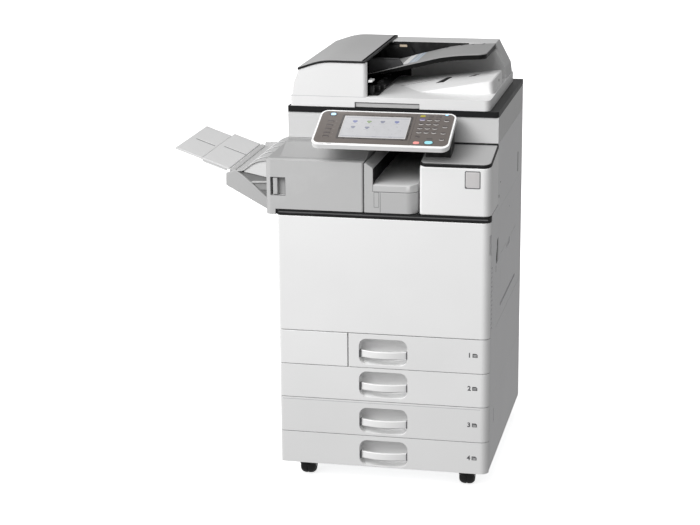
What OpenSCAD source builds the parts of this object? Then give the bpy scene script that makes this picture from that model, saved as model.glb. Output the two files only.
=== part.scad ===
// Floor-standing colour photocopier with document feeder, internal finisher and four paper drawers.
// The design is laid out round the middle of the main body: X to the right, Y to the back, Z up from the
// floor. place() then moves everything so that the origin is the middle of the whole machine's footprint.

/* [Body] */
// Width of the main body
body_w = 587; // [580:1:600]
// Depth of the main body, without the operation panel
body_d = 685; // [670:1:700]
// Height of the lowest cover above the floor
floor_gap = 53; // [53:1:56]
// Radius of the body's right front edge
edge_r = 22; // [14:1:22]
// Radius of the body's left front edge
left_edge_r = 7; // [4:1:8]

/* [Drawers] */
// Height of the fourth (lowest) drawer front
drawer_4_h = 92; // [90:1:96]
// Height of the third drawer front
drawer_3_h = 102; // [98:1:106]
// Height of the second drawer front
drawer_2_h = 97; // [94:1:102]
// Height of the first (top) drawer front
drawer_1_h = 98; // [94:1:102]
// Left edge of the first drawer, from the middle
drawer_1_left = -99; // [-110:1:-95]
// Width of a drawer's handle pocket
handle_w = 136; // [120:1:150]

/* [Front door] */
// Height of the front door
door_h = 327; // [320:1:334]
// Height of the dark trim band above the front door
trim_h = 15; // [12:1:18]

/* [Scanner] */
// Height of the exit bay, from the trim band to the scanner
bay_h = 173; // [170:1:178]
// Height of the scanner housing
scanner_h = 72; // [70:1:76]
// Set-back of the scanner's front from the body's front
scanner_set_back = 143; // [138:1:148]
// Thickness of the dark platen frame
platen_frame_h = 16; // [14:1:18]
// Thickness of the platen lid
lid_h = 30; // [26:1:34]

/* [Operation panel] */
// Width of the operation panel
panel_w = 375; // [370:1:380]
// Length of the panel's face, from its top edge to its bottom edge
panel_len = 169; // [164:1:172]
// Tilt of the panel's face from level, in degrees
panel_tilt = 22.4; // [20:0.2:24]
// Left edge of the operation panel, from the middle
panel_left = -192.5; // [-196:0.5:-190]

/* [Finisher] */
// Left overhang of the finisher past the body
finisher_overhang = 32; // [28:1:36]
// Height of the finisher's front cover
finisher_h = 136; // [130:1:140]
// Rise of the output tray, in degrees
tray_rise = 19.4; // [17:0.2:21]
// Length of the hinged output tray plate
tray_plate_len = 83; // [78:1:88]
// Length of the fold-out tray extension
tray_extension_len = 79; // [70:1:79]

/* [Casters] */
// Radius of a caster's wheel
wheel_r = 25; // [24:0.5:25]
// Width of a caster's wheel
wheel_w = 20; // [18:1:22]
// Trail of a caster's wheel behind its swivel axis
caster_trail = 14; // [10:1:16]

/* [Hidden] */
$fn = 48;
half_w = body_w / 2;
half_d = body_d / 2;
front = -half_d;
rear = half_d;

// Levels, from the floor up
seam_34 = floor_gap + drawer_4_h;
seam_23 = seam_34 + drawer_3_h;
seam_12 = seam_23 + drawer_2_h;
door_z = seam_12 + drawer_1_h;
trim_z = door_z + door_h;
bay_z = trim_z + trim_h;
scanner_z = bay_z + bay_h;
platen_z = scanner_z + scanner_h;
lid_z = platen_z + platen_frame_h;
feeder_z = lid_z + lid_h;
top_z = feeder_z + 100;

// Shared thicknesses and gaps
front_t = 24;
skin = 3;
seam = 1;
cover_t = 6;
sheet = 2;
frame_x = 283;
wall_t = 2;
frame_y = front + front_t + 6.5;
frame_back = rear - 16;
side_front = front + front_t + 3.5;
split_x = drawer_1_left;

// Drawers, counted from the top
drawer_z = [seam_12, seam_23, seam_34, floor_gap];
drawer_h = [drawer_1_h, drawer_2_h, drawer_3_h, drawer_4_h];
pocket_r = 22;
pocket_z = [391, 296, 190, 94.5];
pocket_h = 74;
pocket_depth = 38;
boss_t = 42;
grip_sag = 16;
grip_half = handle_w / 2 - 1;
grip_bend = (grip_half * grip_half + grip_sag * grip_sag) / (2 * grip_sag);
grip_h = 20;
grip_drop = 9;
grip_t = 4;
grip_lean = 12;
tray_wall = 2.5;
tray_front = front + boss_t;
tray_back = 300;
tray_half = 258;
runner_w = 14;
runner_h = 9;
rail_gap = 0.5;
rail_w = 20;

// Casters: [x, y, direction of the wheel's trail]
caster_x = 228;
caster_y = 292;
casters = [[-caster_x, -caster_y], [caster_x, -caster_y], [-caster_x, caster_y], [caster_x, caster_y]];
caster_names = ["front_left", "front_right", "rear_left", "rear_right"];
stem_r = 6;
axle_r = 4;
running_gap = 0.05;
plate_z = floor_gap + 3;
plate_t = 4;
swivel_z = plate_z - 0.5;

// Right side doors
door_front_y = front + 128;
door_back_y = rear - 26;
feeder_door_z = floor_gap + 9;
feeder_door_top = seam_23 + 15;
bypass_half = 165;
bypass_y = 40;
bypass_z = door_z + 38;
bypass_h = 150;
bypass_t = 10;

// Finisher and output tray
finisher_left = -half_w - finisher_overhang;
finisher_right = -54;
finisher_back = 177;
finisher_z = bay_z + 2;
finisher_top = finisher_z + finisher_h;
finisher_hinge_r = 5;
tray_front_y = front + 42;
tray_back_y = 40;
extension_back_y = 10;
joint_x = finisher_left - 110;
joint_z = finisher_z + 98;
tray_t = 5;
fold_x = joint_x - tray_plate_len * cos(tray_rise);
fold_z = joint_z + tray_plate_len * sin(tray_rise);
tray_reach = tray_plate_len + tray_extension_len + 1;
tip_x = joint_x - tray_reach * cos(tray_rise) - tray_t * sin(tray_rise);

// Exit unit between the finisher and the right-hand block
exit_left = finisher_right + 3;
exit_right = 93;
exit_lip_z = bay_z + 59;

// Right-hand block
block_left = 100.5;
block_top = bay_z + 146;
rim_h = 12;
side_step_y = front + 220;

// Scanner
scanner_front = front + scanner_set_back;
glass_x = [-236, 196];
glass_y = [-152, 148];
strip_x = [-274, -254];
glass_t = 3.5;
carriage_w = 36;
rod_r = 5;
rod_z = scanner_z + 16;

// Document feeder, all of it on the platen lid
lid_left = -286;
lid_right = 269;
lid_back = rear - 50;
hinge_y = lid_back + 13;
hinge_z = lid_z + 15;
housing_right = -71.5;
mouth_front = -14;
mouth_back = 206;
tray_y = [-5, 200];
rear_house_y = 203;
rear_low_y = 165;
// Upper surface of the document tray, seen from the front: x, height above feeder_z
tray_top = [[-107, 32], [-72, 41], [-6, 54], [38, 66], [119, 88], [173, 94], [230, 96]];
tray_deep = 12;
tray_edge_r = 5.7;
// Upper surface of the feed cover, seen from the front
cover_top = [[-262, 80], [-228, 90], [-202, 97], [-176, 100], [-78, 100]];
cover_skin = 5;
cover_edge_r = 2.3;
cover_gap = 0.5;

// Operation panel
panel_y = scanner_front - 15.5;
panel_z = lid_z - 5.7;
panel_t = 13;
panel_hinge_y = scanner_front - 22.5;
panel_hinge_z = lid_z - 33;
panel_pin_r = 3;
panel_barrel_r = 6;
panel_r = 22;
face_border = 4.5;
face_t = 2;
key_fit = 0.4;
key_rise = 1;
key_deep = 3;
screen_u = [70, 252];
screen_v = [26, 130];
home_uv = [36, 20];
stop_uv = [285, 146];
start_uv = [318, 143];
keypad_u = [282, 302.5, 323];
keypad_v = [40, 58, 76, 94];

// The whole machine's footprint, which puts the origin in its middle
footprint_x = [tip_x, half_w];
footprint_y = [panel_y - panel_len * cos(panel_tilt), rear];
shift_x = -(footprint_x[0] + footprint_x[1]) / 2;
shift_y = -(footprint_y[0] + footprint_y[1]) / 2;

// Colours
white = [0.93, 0.93, 0.92];
light = [0.80, 0.80, 0.80];
grey = [0.62, 0.62, 0.62];
dark = [0.13, 0.13, 0.14];
steel = [0.70, 0.72, 0.74];

// ---------------------------------------------------------------- shared shapes

module place() {
    translate([shift_x, shift_y, 0]) children();
}

module block(x0, x1, y0, y1, z0, z1) {
    translate([x0, y0, z0]) cube([x1 - x0, y1 - y0, z1 - z0]);
}

// A quarter-round cut for a corner at the origin, open towards +X and +Y
module corner_cut(r) {
    difference() {
        translate([-1, -1]) square(r + 1);
        translate([r, r]) circle(r = r);
    }
}

// Plan of a panel or block whose two front corners are rounded
module front_round(x0, x1, y0, y1, r_left, r_right) {
    difference() {
        translate([x0, y0]) square([x1 - x0, y1 - y0]);
        translate([x0, y0]) corner_cut(r_left);
        translate([x1, y0]) mirror([1, 0]) corner_cut(r_right);
    }
}

// A rectangle with four rounded corners, from its lower left corner
module round_rect(w, h, r) {
    translate([r, 0]) square([w - 2 * r, h]);
    translate([0, r]) square([w, h - 2 * r]);
    for (x = [r, w - r], y = [r, h - r]) translate([x, y]) circle(r = r);
}

// Extrudes an X-Z outline along Y, from y0 back to y1
module along_y(y0, y1) {
    translate([0, y1, 0]) rotate([90, 0, 0]) linear_extrude(y1 - y0) children();
}

// Extrudes a Y-Z outline along X, from x0 to x1
module along_x(x0, x1) {
    translate([x0, 0, 0]) rotate([90, 0, 90]) linear_extrude(x1 - x0) children();
}

// ---------------------------------------------------------------- frame

module base_plate() {
    color(steel) difference() {
        block(-285, 285, frame_y, frame_back, plate_z, plate_z + plate_t);
        for (c = casters) translate([c[0], c[1], plate_z - 1]) cylinder(r = stem_r + running_gap, h = plate_t + 2);
        for (x = [-268, 268], y = [-180, 180]) translate([x, y, plate_z - 1]) cylinder(r = 3, h = plate_t + 2);
    }
}

// One pair of drawer rails, fixed to the frame's side walls
module rails(z, left_x) {
    for (x = [left_x, frame_x - rail_w]) block(x, x + rail_w, tray_front + 20, tray_back, z, z + 10);
}

// A closed sheet metal column
module column(x0, x1, y0, y1, z0, z1) {
    difference() {
        block(x0, x1, y0, y1, z0, z1);
        block(x0 + wall_t, x1 - wall_t, y0 + wall_t, y1 - wall_t, z0 + wall_t, z1 - wall_t);
    }
}

function rail_z(i) = drawer_z[i] + drawer_h[i] / 2 - 14;

module feeder_frame() {
    z0 = plate_z + plate_t;
    color(steel) {
        for (x = [-frame_x - wall_t, frame_x]) block(x, x + wall_t, frame_y, frame_back, z0, seam_23 + 1);
        block(-frame_x, frame_x, frame_back - wall_t, frame_back, z0, seam_23 + 1);
        block(-frame_x, frame_x, frame_y, frame_back, seam_34 - sheet / 2, seam_34 + sheet / 2);
        for (i = [2, 3]) rails(rail_z(i), -frame_x);
    }
}

module main_frame() {
    z0 = seam_23 + 1;
    deck = trim_z + 9;
    color(steel) {
        difference() {
            union() {
                for (x = [-frame_x - wall_t, frame_x]) block(x, x + wall_t, frame_y, frame_back, z0, deck);
                block(-frame_x, frame_x, frame_back - wall_t, frame_back, z0, scanner_z);
                for (z = [z0, seam_12 - sheet / 2, door_z - sheet / 2, deck]) {
                    block(-frame_x - wall_t, frame_x + wall_t, frame_y, frame_back, z, z + sheet);
                }
                block(-frame_x, frame_x, frame_y, frame_y + sheet, door_z, deck);
                block(split_x - 13, split_x - 11, frame_y, frame_back, seam_12, door_z);
            }
            // Opening to the paper path behind the right door
            block(frame_x - 1, frame_x + 3, door_front_y + 20, door_back_y - 20, door_z + 20, trim_z - 18);
            // Openings for the four toner cartridges
            for (i = [0:3]) translate([cartridge_x(i), frame_y - 1, cartridge_z]) {
                rotate([-90, 0, 0]) cylinder(r = cartridge_r + 1, h = sheet + 2);
            }
        }
        rails(rail_z(1), -frame_x);
        rails(rail_z(0), split_x - 11);
        // Columns that carry the scanner
        column(-285, -225, 200, frame_back - wall_t, deck + sheet, scanner_z);
        column(225, 283, -100, frame_back - wall_t, deck + sheet, scanner_z);
    }
}

// ---------------------------------------------------------------- covers

module left_cover() {
    color(white) difference() {
        union() {
            block(-half_w, -half_w + cover_t, side_front, rear - 9, floor_gap + 4, trim_z - seam);
            block(-half_w, -half_w + cover_t, frame_y + seam, rear - 9, trim_z - 2 * seam, bay_z);
        }
        for (i = [0:13]) block(-half_w - 1, -half_w + 2, 190, 300, 560 + i * 12, 564 + i * 12);
        block(-half_w - 1, -half_w + 1, side_front - 1, rear, seam_23 - seam, seam_23 + seam);
    }
}

module rear_cover() {
    back = rear - 8;
    color(white) {
        difference() {
            block(-half_w, half_w, back, rear, floor_gap + 4, platen_z - 2);
            for (i = [0:11], x = [-200, 80]) block(x, x + 120, rear - 3, rear + 1, 600 + i * 11, 604 + i * 11);
            // Power inlet recess
            block(-220, -188, rear - 6, rear + 1, 118, 142);
        }
        // Cover of the scanner's left rear column
        block(-half_w, -half_w + cover_t, 192, back, bay_z + seam, scanner_z - seam);
        block(-half_w + cover_t, -220, 192, 196, bay_z + seam, scanner_z - seam);
    }
}

module right_cover() {
    x0 = half_w - cover_t;
    z0 = feeder_door_top + seam;
    back = rear - 9;
    color(light) difference() {
        union() {
            block(x0, half_w, side_front, back, floor_gap + 4, trim_z - seam);
            block(x0, half_w, frame_y + seam, back, trim_z - 2 * seam, bay_z);
        }
        // Opening for the main right door
        block(x0 - 1, half_w + 1, door_front_y - seam, door_back_y + 2, door_z - seam, trim_z);
        // Opening for the lower right door
        block(x0 - 1, half_w + 1, door_front_y - 40, door_back_y + 2, feeder_door_z - seam, z0);
        // Louvres beside the front door
        for (i = [0:13]) block(half_w - 3, half_w + 1, side_front + 6, side_front + 26, 462 + i * 13, 468 + i * 13);
    }
}

// Plan of a side door: its back edge is rounded round the hinge's axis
module side_door_plan(y0) {
    r = cover_t / 2;
    translate([half_w - cover_t, y0]) square([cover_t, door_back_y - r - y0]);
    translate([half_w - r, door_back_y - r]) circle(r = r);
}

module right_door() {
    x0 = half_w - cover_t;
    color(light) difference() {
        union() {
            translate([0, 0, door_z]) linear_extrude(door_h - seam) side_door_plan(door_front_y);
            // Inner box that holds the bypass feed
            block(x0 - 18, x0 + 1, door_front_y + 24, door_back_y - 24, door_z + 24, trim_z - 22);
        }
        // Recess for the closed bypass tray
        block(half_w - bypass_t - 1, half_w + 1, bypass_y - bypass_half - seam, bypass_y + bypass_half + seam,
            bypass_z - 4, bypass_z + bypass_h + seam);
        // Hand grip
        block(half_w - 9, half_w + 1, door_front_y + 12, door_front_y + 44, 622, 690);
    }
}

module bypass_tray() {
    x0 = half_w - bypass_t;
    color(light) {
        difference() {
            block(x0, half_w, bypass_y - bypass_half, bypass_y + bypass_half, bypass_z + 6, bypass_z + bypass_h);
            block(half_w - 4, half_w + 1, bypass_y - 40, bypass_y + 40, bypass_z + bypass_h - 18, bypass_z + bypass_h + 1);
        }
        translate([half_w - 5, bypass_y - bypass_half, bypass_z + 3.5]) {
            rotate([-90, 0, 0]) cylinder(r = 3, h = 2 * bypass_half);
        }
    }
}

module feeder_door() {
    color(light) difference() {
        translate([0, 0, feeder_door_z]) linear_extrude(feeder_door_top - feeder_door_z) {
            side_door_plan(door_front_y - 39);
        }
        block(half_w - 4, half_w + 1, door_front_y - 27, door_front_y - 7, 170, 210);
    }
}

// A front panel that is hollow behind, with rounded front corners
module front_panel(x0, x1, z0, z1, r_left, r_right) {
    difference() {
        translate([0, 0, z0]) linear_extrude(z1 - z0) {
            front_round(x0, x1, front, front + front_t, r_left, r_right);
        }
        block(x0 + r_left + 4, x1 - r_right - 4, front + skin + 1, front + front_t + 1, z0 + 6, z1 - 6);
    }
}

module front_door() {
    color(white) difference() {
        front_panel(-half_w, half_w, door_z + seam, trim_z - seam, left_edge_r, edge_r);
        // Finger notch in the right edge
        block(half_w - 7, half_w + 1, front + 15, front + front_t + 1, 677, 733);
    }
}

module waste_toner_door() {
    color(white) front_panel(-half_w, split_x - 1.5, seam_12 + seam, door_z - seam, left_edge_r, 1);
}

module waste_toner_bottle() {
    z0 = seam_12 + sheet / 2;
    color([0.85, 0.86, 0.82, 1]) {
        translate([-268, -300, z0]) linear_extrude(70) round_rect(140, 240, 16);
        translate([-200, -250, z0 + 70]) cylinder(r = 16, h = 14);
    }
}

cartridge_r = 34;
cartridge_z = door_z + 232;
function cartridge_x(i) = -198 + i * 110;

module toner_cartridges() {
    color(dark) for (i = [0:3]) translate([cartridge_x(i), 0, cartridge_z]) rotate([-90, 0, 0]) {
        translate([0, 0, front + front_t + 3]) cylinder(r = cartridge_r - 6, h = 10);
        translate([0, 0, front + front_t + 3]) cylinder(r = 12, h = 16);
        translate([0, 0, frame_y - 1]) cylinder(r = cartridge_r, h = 360);
    }
}

module fuser_unit() {
    color(grey) difference() {
        block(168, 262, -190, 190, trim_z - 150, trim_z - 40);
        block(250, 263, -170, 170, trim_z - 106, trim_z - 84);
    }
}

module body_trim() {
    color(dark) difference() {
        translate([0, 0, trim_z + seam]) linear_extrude(trim_h - seam) {
            front_round(-half_w, half_w, front, frame_y, left_edge_r, edge_r);
        }
        // Shallow groove along the front of the band
        block(-half_w + 12, half_w - 26, front - 1, front + 0.8, trim_z + 6, trim_z + 10);
    }
}

// ---------------------------------------------------------------- drawers

module grip(z) {
    translate([0, front + 14, z]) rotate([grip_lean, 0, 0]) {
        translate([0, 0, -grip_h / 2]) linear_extrude(grip_h) intersection() {
            translate([-grip_half - 2, -grip_sag - 1]) square([2 * grip_half + 4, grip_sag + 3]);
            translate([0, grip_bend - grip_sag]) difference() {
                circle(r = grip_bend, $fn = 96);
                circle(r = grip_bend - grip_t, $fn = 96);
            }
        }
    }
}

// Hollow of a handle pocket, whose floor curves from top to bottom
module pocket(zc) {
    half_chord = pocket_h / 2 + 1.5;
    r = (half_chord * half_chord + pocket_depth * pocket_depth) / (2 * pocket_depth);
    intersection() {
        along_y(front - 1, front + pocket_depth + 1) {
            translate([-handle_w / 2, zc - pocket_h / 2]) round_rect(handle_w, pocket_h, pocket_r);
        }
        along_x(-handle_w / 2 - 1, handle_w / 2 + 1) translate([front + pocket_depth - r, zc]) circle(r = r);
    }
}

module drawer_front(i) {
    z0 = drawer_z[i] + (i == 3 ? 0 : seam);
    z1 = drawer_z[i] + drawer_h[i] - seam;
    x0 = i == 0 ? split_x + 1.5 : -half_w;
    inner_x = handle_w / 2 + 8;
    color(white) {
        difference() {
            union() {
                translate([0, 0, z0]) linear_extrude(z1 - z0) {
                    front_round(x0, half_w, front, front + front_t, i == 0 ? 1 : left_edge_r, edge_r);
                }
                block(-inner_x + 2, inner_x - 2, front + 20, front + boss_t, z0 + (i == 3 ? 9 : 5), z1 - 5);
            }
            pocket(pocket_z[i]);
            if (i > 0) block(x0 + 12, -inner_x, front + skin + 1, front + front_t + 1, z0 + 6, z1 - 6);
            block(inner_x, half_w - edge_r - 4, front + skin + 1, front + front_t + 1, z0 + 6, z1 - 6);
        }
        grip(pocket_z[i] - grip_drop);
    }
}

module drawer_tray(i) {
    x0 = i == 0 ? split_x + 13 : -tray_half;
    zr = rail_z(i) + 10 + rail_gap;
    z0 = drawer_z[i] + (i == 3 ? 13 : 7);
    z1 = drawer_z[i] + drawer_h[i] - 9;
    color(light) {
        difference() {
            block(x0, tray_half, tray_front, tray_back, z0, z1);
            block(x0 + tray_wall, tray_half - tray_wall, tray_front + tray_wall, tray_back - tray_wall,
                z0 + tray_wall, z1 + 1);
        }
        for (x = [x0 - runner_w, tray_half]) {
            block(x, x + runner_w, tray_front + 20, tray_back, zr, zr + runner_h);
        }
    }
}

// ---------------------------------------------------------------- casters

module caster_fork(k) {
    c = casters[k];
    color(dark) translate([c[0], c[1], 0]) {
        // Swivel plate and stem
        translate([0, 0, swivel_z - 4]) cylinder(r = 23, h = 4);
        translate([0, 0, swivel_z - 1]) cylinder(r = stem_r, h = plate_t + 1.5);
        // Cheeks on both sides of the wheel, and the axle between them
        for (x = [-wheel_w / 2 - 4, wheel_w / 2 + 1]) along_x(x, x + 3) {
            translate([caster_trail, wheel_r]) circle(r = 11);
            polygon([[-14, swivel_z - 3], [22, swivel_z - 3], [caster_trail + 11, wheel_r], [caster_trail - 11, wheel_r]]);
        }
        along_x(-wheel_w / 2 - 2, wheel_w / 2 + 2) translate([caster_trail, wheel_r]) circle(r = axle_r);
    }
}

module caster_wheel(k) {
    c = casters[k];
    color(dark) translate([c[0], c[1] + caster_trail, wheel_r]) rotate([0, 90, 0]) difference() {
        union() {
            translate([0, 0, -wheel_w / 2]) cylinder(r = wheel_r - 2, h = wheel_w);
            translate([0, 0, -wheel_w / 2 + 2]) cylinder(r = wheel_r, h = wheel_w - 4);
        }
        cylinder(r = axle_r + running_gap, h = wheel_w + 2, center = true);
    }
}

// ---------------------------------------------------------------- finisher

module finisher_body() {
    y0 = front + front_t + 0.5;
    color(light) {
        difference() {
            union() {
                block(finisher_left, finisher_right, y0, finisher_back, finisher_z, finisher_top);
                // Raised back part under the scanner
                along_x(-half_w, finisher_right) {
                    polygon([[y0 + 20, finisher_top - 1], [scanner_front - 30, finisher_top + 28],
                        [finisher_back, finisher_top + 28], [finisher_back, finisher_top - 1]]);
                }
            }
            // Hollow for the paper path, open on the right
            block(finisher_left + 14, finisher_right + 1, y0 + 12, finisher_back - 12, finisher_z + 12, finisher_top - 12);
            // Exit slot on the left
            block(finisher_left - 1, finisher_left + 15, tray_front_y + 10, tray_back_y - 10, finisher_z + 104, finisher_top - 12);
        }
    }
}

module finisher_cover() {
    lip_right = -half_w - 4.5;
    color(light) {
        difference() {
            union() {
                translate([0, 0, finisher_z]) linear_extrude(finisher_h) {
                    front_round(finisher_left, finisher_right, front, front + front_t - 1.5, 16, finisher_hinge_r);
                }
                translate([0, 0, finisher_z - 16]) linear_extrude(17) {
                    front_round(finisher_left, lip_right, front, front + front_t - 1.5, 16, 1);
                }
            }
            // Latch recess
            block(-311, -270, front - 1, front + 15, finisher_z + 38, finisher_z + 88);
            block(-260, finisher_right - 14, front + 4, front + front_t, finisher_z + 6, finisher_top - 6);
        }
        // Latch lever
        block(-304, -292, front + 1.5, front + 15.5, finisher_z + 40, finisher_z + 86);
    }
}

module output_tray_base() {
    x1 = finisher_left;
    color(light) {
        // Side brackets
        for (y = [tray_front_y, tray_back_y - 6]) along_y(y, y + 6) {
            polygon([[joint_x - 10, joint_z - 13], [joint_x - 10, joint_z - 47], [x1, finisher_z - 10],
                [x1, finisher_z + 18], [x1 - 46, joint_z - 40], [joint_x + 14, joint_z - 6]]);
        }
        // Floor between the brackets
        along_y(tray_front_y + 6, tray_back_y - 6) {
            polygon([[joint_x - 10, joint_z - 43], [joint_x - 10, joint_z - 47], [x1, finisher_z - 10],
                [x1, finisher_z - 6]]);
        }
        // Curved guide plate up to the finisher's exit
        along_y(tray_front_y, tray_back_y) {
            polygon([[joint_x - 4, joint_z - 13], [joint_x + 30, joint_z - 14], [x1 - 40, joint_z - 2],
                [x1 - 18, joint_z + 14], [x1, joint_z + 17], [x1, joint_z + 23], [x1 - 20, joint_z + 22],
                [x1 - 44, joint_z + 6], [joint_x + 34, joint_z - 7], [joint_x - 4, joint_z - 7]]);
        }
    }
}

// Moves a shape drawn on the level to the tray's rising line, from a hinge point
module on_tray(x, z) {
    translate([x, 0, z]) rotate([0, tray_rise, 0]) children();
}

module output_tray_plate() {
    color(light) on_tray(joint_x, joint_z) difference() {
        union() {
            along_y(tray_front_y, tray_back_y) {
                translate([-tray_plate_len, -tray_t]) square([tray_plate_len - 1 - tray_t / 2, tray_t]);
                translate([-1 - tray_t / 2, -tray_t / 2]) circle(r = tray_t / 2);
            }
            block(-tray_plate_len + 2, -10, tray_front_y + 2, tray_back_y - 4, -tray_t - 6, -tray_t + 1);
        }
        block(-tray_plate_len + 6, -14, tray_front_y + 30, tray_back_y - 30, -tray_t - 7, -tray_t);
        // Paper-feel slot
        block(-64, -10, -120, -114, -tray_t - 1, 1);
    }
}

module output_tray_extension() {
    color(light) on_tray(fold_x, fold_z) difference() {
        block(-tray_extension_len - 1, -1, tray_front_y, extension_back_y, -tray_t, 0);
        block(-58, -14, -150, -144, -tray_t - 1, 1);
    }
}

// ---------------------------------------------------------------- exit bay and right-hand block

module exit_unit() {
    lip = exit_lip_z;
    col = exit_left + 24;
    color(light) {
        difference() {
            translate([0, 0, bay_z + 1]) linear_extrude(lip - bay_z - 1) {
                front_round(exit_left, exit_right, front + 1, 190, 1, 30);
            }
            block(exit_left - 1, exit_right - 34, front + 16, 191, bay_z - 1, lip - 30);
            // Seams round the lower flap
            block(col + 20, exit_right + 1, front, front + 2, lip - 1.5, lip);
        }
        // Receiving tray, rising a little to the back
        difference() {
            translate([0, 0, lip]) linear_extrude(90) {
                front_round(col, exit_right, front + 1, 190, 1, 30);
            }
            along_x(col - 1, exit_right + 1) {
                polygon([[front - 1, lip + 17], [front + 40, lip + 24], [front + 200, lip + 27],
                    [191, lip + 34], [191, lip + 100], [front - 1, lip + 100]]);
            }
        }
        // Column beside the finisher
        along_y(front + 1, 190) {
            polygon([[exit_left, lip], [exit_left, lip + 76], [col - 0.1, lip + 63], [col - 0.1, lip]]);
        }
    }
}

module right_top_cover() {
    z0 = bay_z + seam;
    color(white) {
        difference() {
            union() {
                translate([0, 0, z0]) linear_extrude(block_top - z0) {
                    front_round(block_left, half_w, front, side_step_y, 6, edge_r);
                }
                // Top that rises to the scanner's front
                along_x(block_left + 1, half_w - 1) {
                    polygon([[front + 24, block_top - 1], [scanner_front - 30, block_top + 20],
                        [side_step_y, block_top + 20], [side_step_y, block_top - 1]]);
                }
                block(half_w - cover_t, half_w, side_step_y - 5, rear - 9, z0, scanner_z - seam);
                block(block_left, half_w - cover_t + 1, side_step_y - 5, side_step_y, z0, scanner_z - seam);
            }
            block(block_left + 5, half_w - cover_t, front + 30, side_step_y - 5, z0 - 1, block_top - rim_h);
            // Power lamp window
            block(224, 264.5, front - 1, front + 2, bay_z + 81, bay_z + 125);
            // Slot in the side
            block(half_w - 3, half_w + 1, 236, 246, bay_z + 2, bay_z + 62);
        }
    }
}

// ---------------------------------------------------------------- scanner

module scanner_body() {
    color(white) {
        difference() {
            block(-half_w, half_w, scanner_front, rear - 9, scanner_z, platen_z);
            block(-half_w + skin, half_w - skin, scanner_front + skin, rear - 12, scanner_z + skin, platen_z + 1);
        }
        // Rod that the carriage slides on
        along_x(-half_w + 1, half_w - 1) translate([0, rod_z]) circle(r = rod_r);
    }
}

module platen_frame() {
    color(dark) {
        difference() {
            translate([0, 0, platen_z]) linear_extrude(platen_frame_h) {
                front_round(-half_w, half_w, scanner_front - 2, rear, 3, 8);
            }
            for (g = [glass_x, strip_x]) {
                block(g[0] + 4, g[1] - 4, glass_y[0] + 4, glass_y[1] - 4, platen_z - 1, lid_z + 1);
                block(g[0], g[1], glass_y[0], glass_y[1], lid_z - glass_t, lid_z + 1);
            }
            // Room for the carriage under the frame
            block(-half_w + 8, 240, -180, 180, platen_z - 1, platen_z + 7);
        }
        // Hinge posts and pins for the lid
        for (x = [-190, 190]) {
            for (s = [-1, 1]) block(x + s * 16 - 5, x + s * 16 + 5, hinge_y - 8, rear - 2, lid_z - 1, hinge_z + 8);
            along_x(x - 14, x + 14) translate([hinge_y, hinge_z]) circle(r = 4);
        }
    }
}

module platen_glass() {
    color([0.75, 0.85, 0.88, 0.5]) for (g = [glass_x, strip_x]) {
        block(g[0], g[1], glass_y[0], glass_y[1], lid_z - glass_t, lid_z - 0.2);
    }
}

module scan_carriage() {
    x0 = -half_w + 10;
    color(dark) difference() {
        union() {
            block(x0, x0 + carriage_w, -158, 158, scanner_z + 24, platen_z + 6);
            block(x0, x0 + carriage_w, -12, 12, scanner_z + 6, scanner_z + 26);
        }
        along_x(x0 - 1, x0 + carriage_w + 1) translate([0, rod_z]) circle(r = rod_r + running_gap);
        // Lamp slot
        block(x0 + 12, x0 + 22, -150, 150, platen_z, platen_z + 7);
    }
}

// ---------------------------------------------------------------- lid and document feeder

module platen_lid() {
    z0 = lid_z + 0.5;
    color(white) {
        difference() {
            translate([0, 0, z0]) linear_extrude(feeder_z - z0) {
                front_round(lid_left, lid_right, scanner_front, lid_back, 6, 16);
            }
            // Recess for the white pad
            block(-246, 206, -166, 162, z0 - 1, z0 + 5);
            // Hand recess in the front edge
            block(-105, 75, scanner_front - 1, scanner_front + 12, z0 - 1, z0 + 15);
        }
        for (x = [-190, 190]) difference() {
            union() {
                block(x - 9, x + 9, lid_back - 1, hinge_y, hinge_z - 7, hinge_z + 7);
                along_x(x - 9, x + 9) translate([hinge_y, hinge_z]) circle(r = 7);
            }
            along_x(x - 10, x + 10) translate([hinge_y, hinge_z]) circle(r = 4 + running_gap);
        }
    }
}

module platen_pad() {
    color([0.98, 0.98, 0.96]) block(-244, 204, -164, 160, lid_z + 0.3, lid_z + 5.5);
}

module feeder_housing() {
    top = [for (p = cover_top) [p[0], feeder_z + p[1] - cover_skin - cover_gap]];
    z0 = feeder_z;
    color(white) difference() {
        along_y(scanner_front, lid_back) {
            polygon(concat([[-281, z0]], [[-277, z0 + 35], [-268, z0 + 56]], top,
                [[housing_right, z0 + 92], [housing_right, z0]]));
        }
        translate([housing_right, scanner_front, z0 - 1]) linear_extrude(102) mirror([1, 0]) corner_cut(12);
        // Mouth that takes the originals in, and the slot that lets them out
        block(-178, housing_right + 1, mouth_front, mouth_back, z0 + 16, z0 + 101);
        block(-150, housing_right + 1, mouth_front, mouth_back, z0 + 3, z0 + 11);
        // Bearings of the pickup roller's shaft
        along_y(mouth_front - 8, mouth_back + 8) translate([roller_x, roller_z]) circle(r = 4 + running_gap);
    }
}

module feeder_rear_housing() {
    z0 = feeder_z;
    x0 = housing_right + 0.5;
    color(grey) difference() {
        union() {
            along_y(rear_house_y, lid_back) {
                polygon([[x0, z0], [x0, z0 + 95], [228, z0 + 95], [262, z0 + 30], [266, z0]]);
            }
            along_y(rear_low_y, rear_house_y + 1) {
                polygon([[x0, z0], [x0, z0 + 20], [-6, z0 + 38], [38, z0 + 49], [119, z0 + 71], [173, z0 + 79],
                    [225, z0 + 80], [236, z0 + 76], [262, z0 + 30], [266, z0]]);
            }
        }
        along_y(rear_house_y + 5, lid_back - 5) {
            polygon([[x0 + 5, z0 - 1], [x0 + 5, z0 + 88], [224, z0 + 88], [256, z0 + 28], [259, z0 - 1]]);
        }
    }
}

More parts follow.
